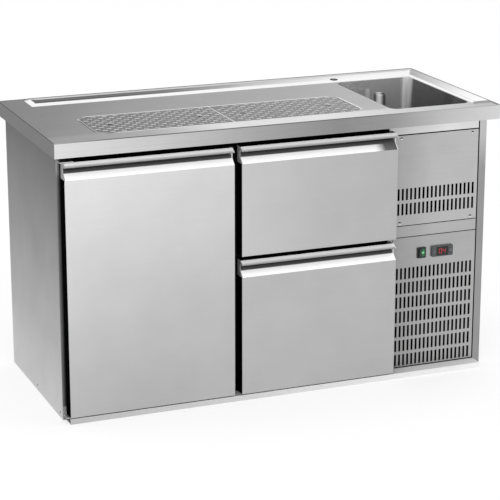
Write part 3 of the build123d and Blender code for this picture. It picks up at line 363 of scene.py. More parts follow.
def board_finish(name):
    """Dark water-resistant board with coarse chips."""
    finish, tree, shader = start_finish(name)
    dark_chip = (0.016, 0.014, 0.012, 1.0)
    pale_chip = (0.05, 0.044, 0.038, 1.0)
    chips = grain_node(tree, drawn_out("y", 60.0, 160.0), 6.0)
    colour = ramp_node(tree, chips, [(0.3, dark_chip), (0.7, pale_chip)])
    feed(tree, shader, {"Base Color": colour, "Roughness": 0.85})
    relief_node(tree, shader, chips, 0.0004, 0.4)
    return finish


def rocker_finish(name, middle):
    """Tinted switch rocker whose right half is lit by its own lamp, with a painted highlight spot near its
    middle.
    """
    finish, tree, shader = start_finish(name)
    dark_green = (0.001, 0.006, 0.003, 1.0)
    deep_green = (0.003, 0.05, 0.015, 1.0)
    clear_green = (0.005, 0.07, 0.022, 1.0)
    highlight_green = (0.16, 0.5, 0.22, 1.0)
    # The bright spot is a painted highlight; the green of the right half is the switch's own lamp.
    highlight_place = (middle.x + 0.004, middle.y - 0.006, middle.z)
    across = along_node(tree, rightward, middle.x - 0.002, middle.x + 0.01)
    colour = ramp_node(tree, across, [(0.0, dark_green), (0.3, deep_green), (1.0, clear_green)])
    inputs = {0: position_node(tree), 1: highlight_place}
    away = add_node(tree, "ShaderNodeVectorMath", inputs, "DISTANCE").outputs["Value"]
    colour = over_node(tree, spread_node(tree, away, 1.0, 0.0, 0.0015, 0.007), colour, highlight_green)
    ribs = grain_node(tree, drawn_out("z", 120.0, 500.0), 2.0)
    colour = times_node(tree, colour, spread_node(tree, ribs, 0.85, 1.15, 0.3, 0.7))
    feed(tree, shader, {"Base Color": colour, "Emission Color": colour})
    feed(tree, shader, {"Emission Strength": 0.5, "Roughness": 0.2})
    return finish


def glow_finish(name, colour, strength):
    """Lit display segment with fine specks in its light."""
    finish, tree, shader = start_finish(name)
    specks = grain_node(tree, even(900.0), 2.0)
    faint = tuple(part * 0.75 for part in colour[:3]) + (1.0,)
    lit = ramp_node(tree, specks, [(0.3, faint), (0.7, colour)])
    feed(tree, shader, {"Base Color": lit, "Emission Color": lit})
    feed(tree, shader, {"Emission Strength": strength, "Roughness": 0.3})
    return finish


# Painted light, shade and reflections of sheets, which change from face to face
half_width = 0.75
half_depth = 0.325
top_z = 0.9
full_width = (-half_width, half_width)
body_rise = (0.0, 0.85)
panel_span = (0.385, 0.72)
drawer_span = (-0.3875, 0.1485)
recess_span = (-0.6, 0.3)
field_slant = (0.9, -0.45, 0.0)
strip_back = -0.235
border_foot = 0.312
border_shine = 0.229
border_rim = 0.286
border_back = 0.2985
border_left = -0.651
leg_crest = 0.6865
leg_rim = 0.734
leg_front = -0.27
leg_outside = 0.7365
mitre_line = ((1.0, -0.51, 0.0), 0.575, 0.006)
carcass_front = -0.272
side_inner = 0.7308
panel_right = 0.7019
frame_right = 0.7028
band_foot = 0.8135
back_inner = 0.3096
drawer_split = 0.475
sink_right = 0.64
sink_back = 0.148
panel_joints = [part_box("panel_strip")[0].z - 0.0005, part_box("panel_strip")[1].z + 0.0005]
service_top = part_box("service_panel")[1].z
grille_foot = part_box("grille_panel")[0].z
grate_seam = (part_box("drip_grate_left")[1].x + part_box("drip_grate_right")[0].x) / 2
shade_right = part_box("drip_grate_left")[0].x + 0.06
shade_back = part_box("drip_grate_left")[1].y - 0.03
slot_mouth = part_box("door_front")[0].y + 0.0182
lip_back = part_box("door_front")[0].y + 0.0176
lip_height = 0.0132
end_plate = 0.0024


def field_reflection_paint(tree):
    """Top sheet with painted reflections: lighter to the right, with a pale strip along the front."""
    shades = [(0.0, 149), (0.11, 159), (0.25, 183), (0.38, 194), (0.5, 200), (0.75, 209), (1.0, 215)]
    strip_shades = [(0.0, 180), (0.1, 187), (0.25, 210), (0.37, 229), (0.6, 230), (1.0, 212)]
    colour = grey_ramp(tree, field_slant, full_width, shades)
    strip = grey_ramp(tree, rightward, full_width, strip_shades)
    return lay(tree, colour, strip, before(strip_back, 0.027))


def edge_reflection_paint(tree):
    """Turned-down edges with painted reflections: the front one shaded along its length, the left and back
    ones even.
    """
    shades = [(0.0, 217), (0.2, 199), (0.45, 163), (0.62, 140), (0.74, 150), (0.86, 187), (1.0, 210)]
    colour = grey_ramp(tree, rightward, full_width, shades)
    colour = lay(tree, colour, tone(137), left_of(0.0015 - half_width, 0.001))
    return lay(tree, colour, tone(178), behind(half_depth - 0.0015, 0.001))


def fold_light_and_shade_paint(tree):
    """Rounded fold round the top, with a painted highlight that lightens to the right and painted shade
    along the left edge.
    """
    shades = [(0.0, 120), (0.45, 190), (0.6, 246), (1.0, 250)]
    colour = grey_ramp(tree, rightward, full_width, shades)
    return lay(tree, colour, tone(62), left_of(0.0025 - half_width, 0.001))


def back_border_reflection_paint(tree):
    """Painted reflections on the raised border along the back: bright slope and left end, dish dark to the
    left, pale rim and dark outline.
    """
    shades = [(0.0, 88), (0.25, 98), (0.37, 132), (0.47, 186), (0.55, 214), (0.75, 234), (1.0, 250)]
    outline_shades = [(0.0, 112), (0.35, 114), (0.5, 138)]
    colour = grey_ramp(tree, rightward, full_width, shades)
    colour = lay(tree, colour, tone(246), before(border_shine))
    colour = lay(tree, colour, tone(246), left_of(border_left, 0.001))
    colour = lay(tree, colour, tone(214), behind(border_rim, 0.001))
    outline = grey_ramp(tree, rightward, full_width, outline_shades)
    return lay(tree, colour, outline, behind(border_back, 0.0005))


def right_border_reflection_paint(tree):
    """Painted reflections on the raised border along the right: grey crease, bright slope, dish, dark rim
    and grey front end.
    """
    colour = grey_ramp(tree, frontward, (-0.25, 0.25), [(0.0, 206), (0.4, 222), (1.0, 252)])
    colour = lay(tree, colour, tone(168), left_of(leg_crest))
    colour = lay(tree, colour, tone(248), left_of(leg_crest - 0.0015, 0.0005))
    colour = lay(tree, colour, tone(128), right_of(leg_rim, 0.0005))
    return lay(tree, colour, tone(172), before(leg_front, 0.001))


def worktop_reflection_paint(tree):
    """Top, folded edges and raised border, each with the painted light, shade and reflections it shows."""
    line_shades = [(0.0, 164), (0.12, 104), (0.7, 114), (0.85, 176)]
    colour = field_reflection_paint(tree)
    colour = lay(tree, colour, fold_light_and_shade_paint(tree), below(top_z - 0.0001, 0.0003))
    colour = lay(tree, colour, tone(112), behind(border_foot, 0.0005))
    colour = lay(tree, colour, edge_reflection_paint(tree), below(top_z - 0.0012))
    # Painted dark reflection along the fold at the front edge.
    line = grey_ramp(tree, rightward, full_width, line_shades)
    colour = lay(tree, colour, line, before(0.0014 - half_depth), above(top_z - 0.0032))
    colour = lay(tree, colour, tone(128), right_of(leg_outside, 0.001), above(top_z - 0.0005))
    border = lay(tree, back_border_reflection_paint(tree), right_border_reflection_paint(tree), mitre_line)
    return lay(tree, colour, border, above(top_z + 0.00003, 0.00027))


def side_light_and_shade_paint(tree):
    """Side sheets with painted light and shade: lighter lower down, painted shade inside the right one, and
    on each narrow front flange.
    """
    shades = [(0.0, 216), (0.25, 205), (0.6, 170), (1.0, 121)]
    left_shades = [(0.0, 176), (0.3, 140), (0.55, 30), (1.0, 10)]
    right_shades = [(0.0, 152), (0.8, 154), (0.92, 186), (1.0, 192)]
    colour = grey_ramp(tree, upward, body_rise, shades)
    colour = lay(tree, colour, tone(12), left_of(side_inner), right_of(0.5, 0.1))
    left_flange = grey_ramp(tree, rightward, (-0.7315, -0.7065), left_shades)
    right_flange = grey_ramp(tree, upward, body_rise, right_shades)
    flange = lay(tree, left_flange, right_flange, right_of(0.0, 0.1))
    return lay(tree, colour, flange, before(carcass_front - 0.0002, 0.0006))


def panel_light_and_shade_paint(tree):
    """Machine panels with painted light and shade: darker beside the drawers, lower down and along the
    joints, with a painted light band at the top.
    """
    shades = [(0.0, 152), (0.12, 166), (0.45, 182), (1.0, 187)]
    band_shades = [(0.0, 182), (0.25, 204), (0.6, 222), (1.0, 214)]
    joint_reach = 0.0016
    colour = grey_ramp(tree, rightward, panel_span, shades)
    for joint in panel_joints:
        colour = lay(tree, colour, tone(70), above(joint - joint_reach), below(joint + joint_reach))
    colour = dim(tree, colour, 0.92, above(panel_joints[0], 0.001), below(panel_joints[1], 0.001))
    colour = dim(tree, colour, 0.86, below(panel_joints[0], 0.001))
    band = grey_ramp(tree, rightward, panel_span, band_shades)
    colour = lay(tree, colour, band, above(band_foot, 0.001))
    # Painted shade in the gaps above the service panel, under the grille and along the right edge.
    colour = lay(tree, colour, tone(26), above(service_top - 0.001), below(service_top + 0.0034))
    colour = lay(tree, colour, tone(24), below(grille_foot + joint_reach))
    return lay(tree, colour, tone(22), right_of(panel_right))


def frame_shade_paint(tree):
    """Frame of the machine opening: the panels' painted shades in front, painted shade inside and beside
    the side sheet.
    """
    colour = lay(tree, panel_light_and_shade_paint(tree), tone(14), behind(carcass_front - 0.0002, 0.0008))
    return lay(tree, colour, tone(10), right_of(frame_right, 0.0006))


def sink_light_and_shade_paint(tree):
    """Bowl lighter towards the top, with painted shade on its right wall and a painted highlight in the
    corner behind it.
    """
    colour = grey_ramp(tree, upward, (0.7, 0.9), [(0.0, 197), (1.0, 210)])
    colour = lay(tree, colour, tone(114), right_of(sink_right, 0.024))
    return lay(tree, colour, tone(244), right_of(sink_right - 0.004, 0.011), behind(sink_back, 0.02))


def grip_light_and_shade_paint(left, right, top, shades):
    """Grip profile with painted light and shade: pale slope, lip lighter upwards, painted shade in the
    finger slot and on the top, grey left end and pale right end.
    """
    lip_shades = [(0.0, 118), (0.17, 150), (0.4, 208), (0.62, 250), (1.0, 255)]

    def paint(tree):
        colour = grey_ramp(tree, rightward, (left, right), shades)
        lip = grey_ramp(tree, upward, (top - lip_height, top), lip_shades)
        colour = lay(tree, colour, lip, above(top - lip_height - 0.0005, 0.0005))
        colour = lay(tree, colour, tone(84), behind(slot_mouth, 0.002))
        colour = lay(tree, colour, tone(8), behind(lip_back), above(top - 0.0006))
        colour = lay(tree, colour, tone(240), right_of(right - end_plate, 0.0003))
        return lay(tree, colour, tone(150), left_of(left + end_plate, 0.0003))

    return paint


def drawer_reflection_paint(tree):
    """Drawer fronts with painted reflections: lighter to the left, the upper one more so."""
    upper = grey_ramp(tree, leftward, drawer_span, [(0.0, 180), (0.5, 185), (1.0, 198)])
    lower = grey_ramp(tree, leftward, drawer_span, [(0.0, 182), (0.5, 183), (1.0, 187)])
    return lay(tree, upper, lower, below(drawer_split, 0.01))


def liner_shade_paint(tree):
    """Chamber lining, lighter upwards, with painted shade in near black on the flange that the seals meet.
    """
    colour = grey_ramp(tree, upward, body_rise, [(0.0, 172), (1.0, 190)])
    return lay(tree, colour, tone(6), before(carcass_front + 0.0008, 0.0008))


def back_shade_paint(tree):
    """Back sheet, lighter upwards, with painted shade on the side that faces the machine."""
    colour = grey_ramp(tree, upward, body_rise, [(0.0, 170), (1.0, 186)])
    return lay(tree, colour, tone(12), before(back_inner, 0.0003))


def base_light_and_shade_paint(tree):
    """Base with a pale nose that a painted reflection lightens to the right, and painted shade inside."""
    shades = [(0.0, 178), (0.35, 197), (0.6, 213), (1.0, 234)]
    colour = grey_ramp(tree, rightward, full_width, shades)
    return lay(tree, colour, tone(12), behind(carcass_front + 0.002, 0.004), above(0.0005))


def plate_highlight_paint(tree):
    """Drip grate plates with a painted reflection that lightens to the right and a painted highlight along
    the seam between the two.
    """
    seam_reach = 0.0026
    colour = grey_ramp(tree, rightward, recess_span, [(0.0, 140), (1.0, 170)])
    return lay(tree, colour, tone(236), right_of(grate_seam - seam_reach), left_of(grate_seam + seam_reach))


def bead_paint(tree):
    """Rolled edge of the drip recess, in shade on the left and at the front left corner."""
    colour = grey_ramp(tree, rightward, recess_span, [(0.0, 236), (1.0, 248)])
    return lay(tree, colour, tone(80), left_of(shade_right, 0.015), before(shade_back, 0.015))


# Finishes of the counter's own surfaces
# Greys along the grips: near white as a painted highlight, and a painted shade at the right end of the
# upper drawer's grip.
pale_all_along = [(0.0, 254), (1.0, 254)]
darkened_end = [(0.0, 254), (0.86, 254), (0.92, 100), (1.0, 84)]
# Painted reflection on the door front, lighter towards the top left.
door_shades = [(0.0, 187), (0.137, 185), (0.355, 190), (0.56, 201), (0.73, 209), (1.0, 226)]
door_slant = ((-0.45, 0.0, 0.9), (0.098, 1.026))
# Painted reflection on the standpipe: a bright stripe between dark edges, laid across the line of sight.
pipe_shades = [(0.0, 84), (0.14, 108), (0.26, 232), (0.48, 255), (0.62, 196), (0.78, 84), (1.0, 116)]
pipe_slant = ((0.929, -0.369, 0.0), (0.4275, 0.4695))
screw_low, screw_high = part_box("panel_screws")
screw_rise = (screw_low.z, screw_high.z)
# Painted highlight on the lower part of each screw head and painted shade on its upper part.
glint = [(0.0, 250), (0.01, 250), (0.015, 8), (0.5, 8), (0.972, 250), (0.983, 250), (0.988, 8)]
rocker_middle = (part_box("switch_rocker")[0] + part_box("switch_rocker")[1]) / 2
window_low, window_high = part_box("thermostat_window")
display_red = (0.36, 0.012, 0.028, 1.0)


def rising(foot, head, span=body_rise):
    """Paint that goes from one grey at the foot of a span to another at its head."""
    return shaded([(0.0, foot), (1.0, head)], upward, span)


def grip_finish(name, node, shades):
    """Satin finish of one grip, from one of its ends to the other."""
    low_end, high_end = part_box(node)
    paint = grip_light_and_shade_paint(low_end.x, high_end.x, high_end.z, shades)
    return steel_finish(name, paint, "x", rough=0.3, streak=0.01, cloud=0.01, metal=0.1)


worktop_finish = steel_finish("worktop_satin", worktop_reflection_paint, "x", rough=0.3, streak=0.04, cloud=0.035)
door_finish = steel_finish("door_satin", shaded(door_shades, *door_slant), "x", rough=0.36, streak=0.015)
drawer_finish = steel_finish("drawer_satin", drawer_reflection_paint, "x", rough=0.36, streak=0.015)
side_finish = steel_finish("side_satin", side_light_and_shade_paint, "z", rough=0.36, streak=0.04, cloud=0.05)
panel_finish = steel_finish("panel_satin", panel_light_and_shade_paint, "x", rough=0.36, streak=0.03, cloud=0.05)
frame_finish = steel_finish("frame_satin", frame_shade_paint, "x", rough=0.36, streak=0.03, cloud=0.05)
base_finish = steel_finish("base_satin", base_light_and_shade_paint, "x", rough=0.4, streak=0.02, cloud=0.01, metal=0.15)
plate_finish = steel_finish("grate_satin", plate_highlight_paint, "x", rough=0.3)
# The hole walls take a pale, half-metallic finish, a painted highlight that makes the holes read as bright
# dots.
pierced_finish = moulded_finish("pierced_edge", 196, rough=0.35, metal=0.3)
sink_finish = steel_finish("sink_satin", sink_light_and_shade_paint, "z", rough=0.13, streak=0.012, cloud=0.06, metal=0.65)
pan_finish = steel_finish("pan_satin", rising(205, 240, (0.86, 0.9)), "x")
pipe_reflection_paint = shaded(pipe_shades, *pipe_slant)
pipe_finish = steel_finish("pipe_bright", pipe_reflection_paint, "z", rough=0.2, streak=0.02, metal=0.4)
back_finish = steel_finish("back_sheet", back_shade_paint, "z", rough=0.42)
liner_finish = steel_finish("liner_sheet", liner_shade_paint, "x", rough=0.3, metal=0.55)
box_finish = steel_finish("drawer_sheet", rising(176, 192, (0.0, 0.7)), "y")
runner_finish = steel_finish("runner_steel", rising(150, 170), "y", rough=0.4)
bracket_finish = steel_finish("bracket_steel", rising(205, 190), "x", rough=0.4)
turned_finish = steel_finish("turned_steel", rising(205, 225, (0.6, 0.9)), "z", rough=0.14, streak=0.03)
bead_finish = steel_finish("bead_satin", bead_paint, "x", rough=0.25, streak=0.02)
screw_finish = steel_finish("screw_steel", shaded(glint, upward, screw_rise), "x", rough=0.25)
rivet_finish = moulded_finish("rivet_steel", 112, rough=0.35, metal=0.9)
door_grip_finish = grip_finish("door_grip_satin", "door_handle", pale_all_along)
upper_grip_finish = grip_finish("upper_grip_satin", "upper_drawer_handle", darkened_end)
lower_grip_finish = grip_finish("lower_grip_satin", "lower_drawer_handle", pale_all_along)
dark_finish = lined_finish("core_black", 7, 190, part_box("door_gasket")[0].y)
mullion_finish = moulded_finish("mullion_black", 7, rough=0.7, shine=0.08)
seal_finish = moulded_finish("seal_rubber", 34, rough=0.7)
case_finish = masked_finish("case_grey", 66, window_low, window_high)
key_finish = moulded_finish("key_grey", 92, tint=cool)
housing_finish = moulded_finish("housing_black", 20, rough=0.4)
window_finish = moulded_finish("window_black", 12, rough=0.12, tint=(1.0, 0.5, 0.5), pebble=0.00001)
shroud_finish = moulded_finish("shroud_black", 20)
fan_finish = moulded_finish("fan_black", 26)
compressor_finish = moulded_finish("compressor_black", 30, rough=0.35, metal=0.2)
wire_finish = moulded_finish("shelf_coating", 205, rough=0.4)
# The condenser's fins are near black, a painted shade for the machine space seen through the panel slots.
fin_hot_finish = fin_finish("fin_hot", "X", 20)
fin_cold_finish = fin_finish("fin_cold", "Y", 172)
copper = copper_finish("copper_tube")
foam = foam_finish("foam_cream")
board = board_finish("board_dark")
rocker_green = rocker_finish("rocker_green", rocker_middle)
digit_red = glow_finish("digit_red", display_red, 0.65)

dressed = [
    (worktop_finish, ["worktop"]),
    (board, ["worktop_core"]),
    (pan_finish, ["drip_pan"]),
    (plate_finish, ["drip_grate_left", "drip_grate_right"]),
    (sink_finish, ["sink_bowl"]),
    (turned_finish, ["sink_waste", "hinge_pins", "panel_screws"]),
    (pipe_finish, ["overflow_pipe"]),
    (side_finish, ["side_panel_left", "side_panel_right"]),
    (back_finish, ["back_panel"]),
    (base_finish, ["base_pan"]),
    (housing_finish, ["cable_gland", "switch_housing"]),
    (foam, ["floor_insulation", "ceiling_insulation", "rear_insulation"]),
    (foam, ["left_insulation", "partition_insulation"]),
    (liner_finish, ["chamber_liner"]),
    (mullion_finish, ["front_mullion"]),
    (runner_finish, ["rail_uprights", "fixed_rails", "shelf_rails"]),
    (runner_finish, ["upper_middle_rails", "lower_middle_rails"]),
    (bracket_finish, ["hinge_brackets"]),
    (door_finish, ["door_front"]),
    (drawer_finish, ["upper_drawer_front", "lower_drawer_front"]),
    (dark_finish, ["door_inner", "upper_drawer_inner", "lower_drawer_inner"]),
    (door_grip_finish, ["door_handle"]),
    (upper_grip_finish, ["upper_drawer_handle"]),
    (lower_grip_finish, ["lower_drawer_handle"]),
    (seal_finish, ["door_gasket", "upper_drawer_gasket", "lower_drawer_gasket"]),
    (box_finish, ["upper_drawer_box", "lower_drawer_box"]),
    (frame_finish, ["machine_frame"]),
    (panel_finish, ["service_panel", "panel_strip", "grille_panel"]),
    (rocker_green, ["switch_rocker"]),
    (case_finish, ["thermostat_case"]),
    (window_finish, ["thermostat_window"]),
    (key_finish, ["thermostat_key_left", "thermostat_key_right"]),
    (fin_hot_finish, ["condenser"]),
    (shroud_finish, ["fan_housing"]),
    (fan_finish, ["condenser_fan", "evaporator_fan"]),
    (compressor_finish, ["compressor"]),
    (copper, ["pipework"]),
    (fin_cold_finish, ["evaporator"]),
    (wire_finish, ["wire_shelf"]),
]
for finish, names in dressed:
    for name in names:
        nodes[name].data.materials.clear()
        nodes[name].data.materials.append(finish)


# Modelling helpers
def deselect():
    """Nothing selected, so the next operator acts only on what it adds."""
    bpy.ops.object.select_all(action="DESELECT")


def take_up(piece):
    """Makes one piece the only selected and active one."""
    deselect()
    piece.select_set(True)
    bpy.context.view_layer.objects.active = piece


def add_block(name, low, high):
    """Box between two corners, with its place in its mesh."""
    deselect()
    middle = [(a + b) / 2 for a, b in zip(low, high)]
    bpy.ops.mesh.primitive_cube_add(size=1, location=middle)
    piece = bpy.context.active_object
    piece.name = name
    piece.scale = [b - a for a, b in zip(low, high)]
    bpy.ops.object.transform_apply(location=True, rotation=True, scale=True)
    return piece


def add_disc(name, centre, radius, depth, sides, turn=(0.0, 0.0, 0.0)):
    """Short cylinder, with its place in its mesh."""
    deselect()
    bpy.ops.mesh.primitive_cylinder_add(
        vertices=sides, radius=radius, depth=depth, location=centre, rotation=turn
    )
    piece = bpy.context.active_object
    piece.name = name
    bpy.ops.object.transform_apply(location=True, rotation=True, scale=True)
    return piece


def add_sheet(name, middle, wide, long, turn=(0.0, 0.0, 0.0)):
    """Flat rectangle, with its place in its mesh."""
    deselect()
    bpy.ops.mesh.primitive_plane_add(size=1, location=middle, rotation=turn)
    piece = bpy.context.active_object
    piece.name = name
    piece.scale = (wide, long, 1.0)
    bpy.ops.object.transform_apply(location=True, rotation=True, scale=True)
    return piece


def choose(piece, kind, wanted):
    """Selects the points, edges or faces whose middle passes a test; leaves the piece in edit mode."""
    take_up(piece)
    bpy.ops.object.mode_set(mode="EDIT")
    bpy.ops.mesh.select_mode(type=kind)
    bpy.ops.mesh.select_all(action="DESELECT")
    bpy.ops.object.mode_set(mode="OBJECT")
    points = piece.data.vertices
    if kind == "VERT":
        for point in points:
            point.select = wanted(point.co)
    elif kind == "EDGE":
        for edge in piece.data.edges:
            first, second = (points[index].co for index in edge.vertices)
            edge.select = wanted((first + second) / 2, second - first)
    else:
        for face in piece.data.polygons:
            face.select = wanted(face.center, face.normal)
    bpy.ops.object.mode_set(mode="EDIT")


def leave_edit():
    """Back to object mode."""
    bpy.ops.object.mode_set(mode="OBJECT")


def join_all(pieces, name):
    """One object from several."""
    deselect()
    for piece in pieces:
        piece.select_set(True)
    bpy.context.view_layer.objects.active = pieces[0]
    bpy.ops.object.join()
    pieces[0].name = name
    return pieces[0]


def copy_at(piece, shift):
    """Copy with its own mesh, moved in its mesh."""
    twin = piece.copy()
    twin.data = piece.data.copy()
    twin.data.transform(Matrix.Translation(shift))
    bpy.context.scene.collection.objects.link(twin)
    return twin


def cut_away(piece, cutter):
    """Subtracts one piece from another and removes the cutter."""
    take_up(piece)
    cut = piece.modifiers.new("cut", "BOOLEAN")
    cut.operation = "DIFFERENCE"
    cut.solver = "EXACT"
    cut.object = cutter
    bpy.ops.object.modifier_apply(modifier="cut")
    bpy.data.objects.remove(cutter)


def soften(piece, width, segments=2, angle=35):
    """Applied bevel on a new piece's sharp edges."""
    take_up(piece)
    bevel = piece.modifiers.new("soft_edge", "BEVEL")
    bevel.width = width
    bevel.segments = segments
    bevel.limit_method = "ANGLE"
    bevel.angle_limit = math.radians(angle)
    bpy.ops.object.modifier_apply(modifier="soft_edge")


def thicken(piece, thickness, offset=-1.0):
    """Applied wall thickness on a sheet."""
    take_up(piece)
    wall = piece.modifiers.new("wall", "SOLIDIFY")
    wall.thickness = thickness
    wall.offset = offset
    bpy.ops.object.modifier_apply(modifier="wall")


def smooth_sides(piece, angle=40):
    """Smooth shading across shallow edges."""
    take_up(piece)
    bpy.ops.object.shade_smooth_by_angle(angle=math.radians(angle))


def dress(piece, finish, body):
    """Gives a new piece its finish and its body."""
    piece.data.materials.clear()
    piece.data.materials.append(finish)
    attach(piece, body)
    return piece


# Drip grates with pierced holes, each with a bright dished edge
hole_radius = 0.0055
dish_radius = 0.0078
hole_sides = 14
finger_radius = 0.011
finger_dish = 0.012
finger_sides = 24
hole_pitch = 0.036
hole_row_pitch = 0.0205
hole_margin = 0.013
hole_web = 0.002
finger_offset = 0.149
dish_depth = 0.0009
punch_overrun = 0.001
grate_corner = 0.0397
grate_edge = 0.0006


def make_punch(low, high, radius, flare, sides):
    """Cutter for one hole: a round shank that flares out just under the plate's top."""
    foot = low.z - punch_overrun
    shank = high.z - dish_depth - foot
    punch = add_disc("punch", (0.0, 0.0, foot + shank / 2), radius, shank, sides)
    choose(punch, "FACE", lambda middle, normal: normal.z > 0.9)
    bpy.ops.mesh.extrude_region_move(TRANSFORM_OT_translate={"value": (0.0, 0.0, 2 * dish_depth)})
    scale = 1 + 2 * (flare / radius - 1)
    bpy.ops.transform.resize(value=(scale, scale, 1.0))
    leave_edit()
    return punch


def hole_places(low, high, fingers):
    """Places of the staggered holes, clear of the rounded corners and the finger holes."""
    middle = (low + high) / 2
    half_wide = (high.x - low.x) / 2
    half_long = (high.y - low.y) / 2
    rows = int((2 * half_long - 2 * hole_margin) / hole_row_pitch) + 1
    columns = int((2 * half_wide - 2 * hole_margin - hole_pitch / 2) / hole_pitch) + 1
    places = []
    for row in range(rows):
        y = middle.y + (row - (rows - 1) / 2) * hole_row_pitch
        shift = hole_pitch / 4 if row % 2 else -hole_pitch / 4
        for column in range(columns):
            x = middle.x + (column - (columns - 1) / 2) * hole_pitch + shift
            reach = max(abs(x - middle.x) + grate_corner - half_wide, 0.0)
            depth = max(abs(y - middle.y) + grate_corner - half_long, 0.0)
            near_corner = math.hypot(reach, depth) > grate_corner - hole_margin / 2
            to_finger = min(math.hypot(x - finger, y - middle.y) for finger in fingers)
            if not near_corner and to_finger > finger_radius + hole_radius + hole_web:
                places.append((x, y, 0.0))
    return places


def make_grate(node, body, round_left):
    """Perforated plate in place of its CAD node, with staggered holes and two finger holes."""
    low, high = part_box(node)
    plate = add_block(node + "_pierced", low, high)
    end = low.x if round_left else high.x
    choose(plate, "EDGE", lambda middle, run: abs(run.z) > 0.001 and abs(middle.x - end) < 0.001)
    bpy.ops.mesh.bevel(offset=grate_corner, segments=8, affect="EDGES")
    leave_edit()
    middle = (low + high) / 2
    fingers = [middle.x - finger_offset, middle.x + finger_offset]
    punch = make_punch(low, high, hole_radius, dish_radius, hole_sides)
    wide_punch = make_punch(low, high, finger_radius, finger_dish, finger_sides)
    cutters = [copy_at(wide_punch, (finger, middle.y, 0.0)) for finger in fingers]
    cutters += [copy_at(punch, place) for place in hole_places(low, high, fingers)]
    bpy.data.objects.remove(punch)
    bpy.data.objects.remove(wide_punch)
    cutter = join_all(cutters, "punches")
    for piece in (plate, cutter):
        piece.data.materials.clear()
        piece.data.materials.append(plate_finish)
        piece.data.materials.append(pierced_finish)
    for face in cutter.data.polygons:
        face.material_index = 1
    soften(plate, grate_edge)
    cut_away(plate, cutter)
    for face in plate.data.polygons:
        if abs(face.normal.z) < 0.8 and abs(face.center.z - middle.z) < 0.002:
            face.material_index = 1
    smooth_sides(plate)
    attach(plate, body)
    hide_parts(node)


make_grate("drip_grate_left", "left_grate", True)
make_grate("drip_grate_right", "right_grate", False)


# Rolled edge round the drip recess
bead_gap = 0.0024
bead_width = 0.0045
bead_roll = 0.0012
bead_crown = 0.0006
bead_wall = 0.0008
bead_seat = 0.0002


def make_recess_bead():
    """Low rounded bead where the drip recess is pressed into the worktop."""
    left_low, left_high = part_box("drip_grate_left")
    right_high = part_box("drip_grate_right")[1]
    left = left_low.x - bead_gap - bead_width
    right = right_high.x + bead_gap + bead_width
    front = left_low.y - bead_gap - bead_width
    back = left_high.y + bead_gap + bead_width
    middle = ((left + right) / 2, (front + back) / 2, top_z - bead_seat)
    bead = add_sheet("recess_bead", middle, right - left, back - front)
    choose(bead, "VERT", lambda point: True)
    bpy.ops.mesh.bevel(offset=grate_corner + bead_gap + bead_width, segments=10, affect="VERTICES")
    leave_edit()
    choose(bead, "FACE", lambda middle, normal: True)
    for step in (bead_roll, bead_width - 2 * bead_roll, bead_roll):
        bpy.ops.mesh.inset(thickness=step, depth=0.0)
    bpy.ops.mesh.delete(type="FACE")
    leave_edit()
    lift_inner_loops(bead, left, right, front, back)
    return dress(bead, bead_finish, "counter")


def lift_inner_loops(bead, left, right, front, back):
    """Raises the two middle loops of the bead, which makes it crowned."""
    def inside(point):
        edge = min(point.x - left, right - point.x, point.y - front, back - point.y)
        return bead_roll / 2 < edge < bead_width - bead_roll / 2
    choose(bead, "VERT", inside)
    bpy.ops.transform.translate(value=(0.0, 0.0, bead_crown))
    leave_edit()
    thicken(bead, bead_wall)
    smooth_sides(bead, 60)


make_recess_bead()


# Cross-headed panel screws
screw_radius = 0.004
screw_depth = 0.0018
screw_dome = 0.0011
cross_width = 0.0009
cross_length = 0.0046
cross_depth = 0.0011


def make_screws():
    """Domed screw heads with a cross recess, in place of the CAD's plain heads."""
    low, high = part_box("panel_screws")
    x = low.x + screw_radius
    z = low.z + screw_radius
    face = low.y
    turn = (math.pi / 2, 0.0, 0.0)
    head = add_disc("screw", (x, face + screw_depth / 2, z), screw_radius, screw_depth, 24, turn)
    choose(head, "FACE", lambda middle, normal: normal.y < -0.9)
    bpy.ops.mesh.bevel(offset=screw_dome, segments=3, affect="EDGES")
    leave_edit()
    for wide, tall in ((cross_width, cross_length), (cross_length, cross_width)):
        slot_low = (x - wide / 2, face - 0.001, z - tall / 2)
        slot_high = (x + wide / 2, face + cross_depth, z + tall / 2)
        cut_away(head, add_block("slot", slot_low, slot_high))
    smooth_sides(head, 30)
    shift_x = high.x - low.x - 2 * screw_radius
    shift_z = high.z - low.z - 2 * screw_radius
    heads = [head]
    for shift in ((shift_x, 0, 0), (0, 0, shift_z), (shift_x, 0, shift_z)):
        heads.append(copy_at(head, shift))
    screws = join_all(heads, "cross_screws")
    dress(screws, screw_finish, "counter")
    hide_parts("panel_screws")


make_screws()


# Red digits of the thermostat
digit_width = 0.009
digit_height = 0.0145
bar_width = 0.002
bar_proud = 0.0002
bar_sunk = 0.0004
shown_digits = ((-0.0074, "abcdef"), (0.0058, "bcfg"))


def make_segment(x, z, wide, tall, face):
    """One lit bar of a digit, with pointed ends."""
    low = (x - wide / 2, face - bar_proud, z - tall / 2)
    high = (x + wide / 2, face + bar_sunk, z + tall / 2)
    bar = add_block("bar", low, high)
    choose(bar, "EDGE", lambda middle, run: abs(run.y) > 0.0003)
    bpy.ops.mesh.bevel(offset=min(wide, tall) * 0.45, segments=1, affect="EDGES")
    leave_edit()
    return bar


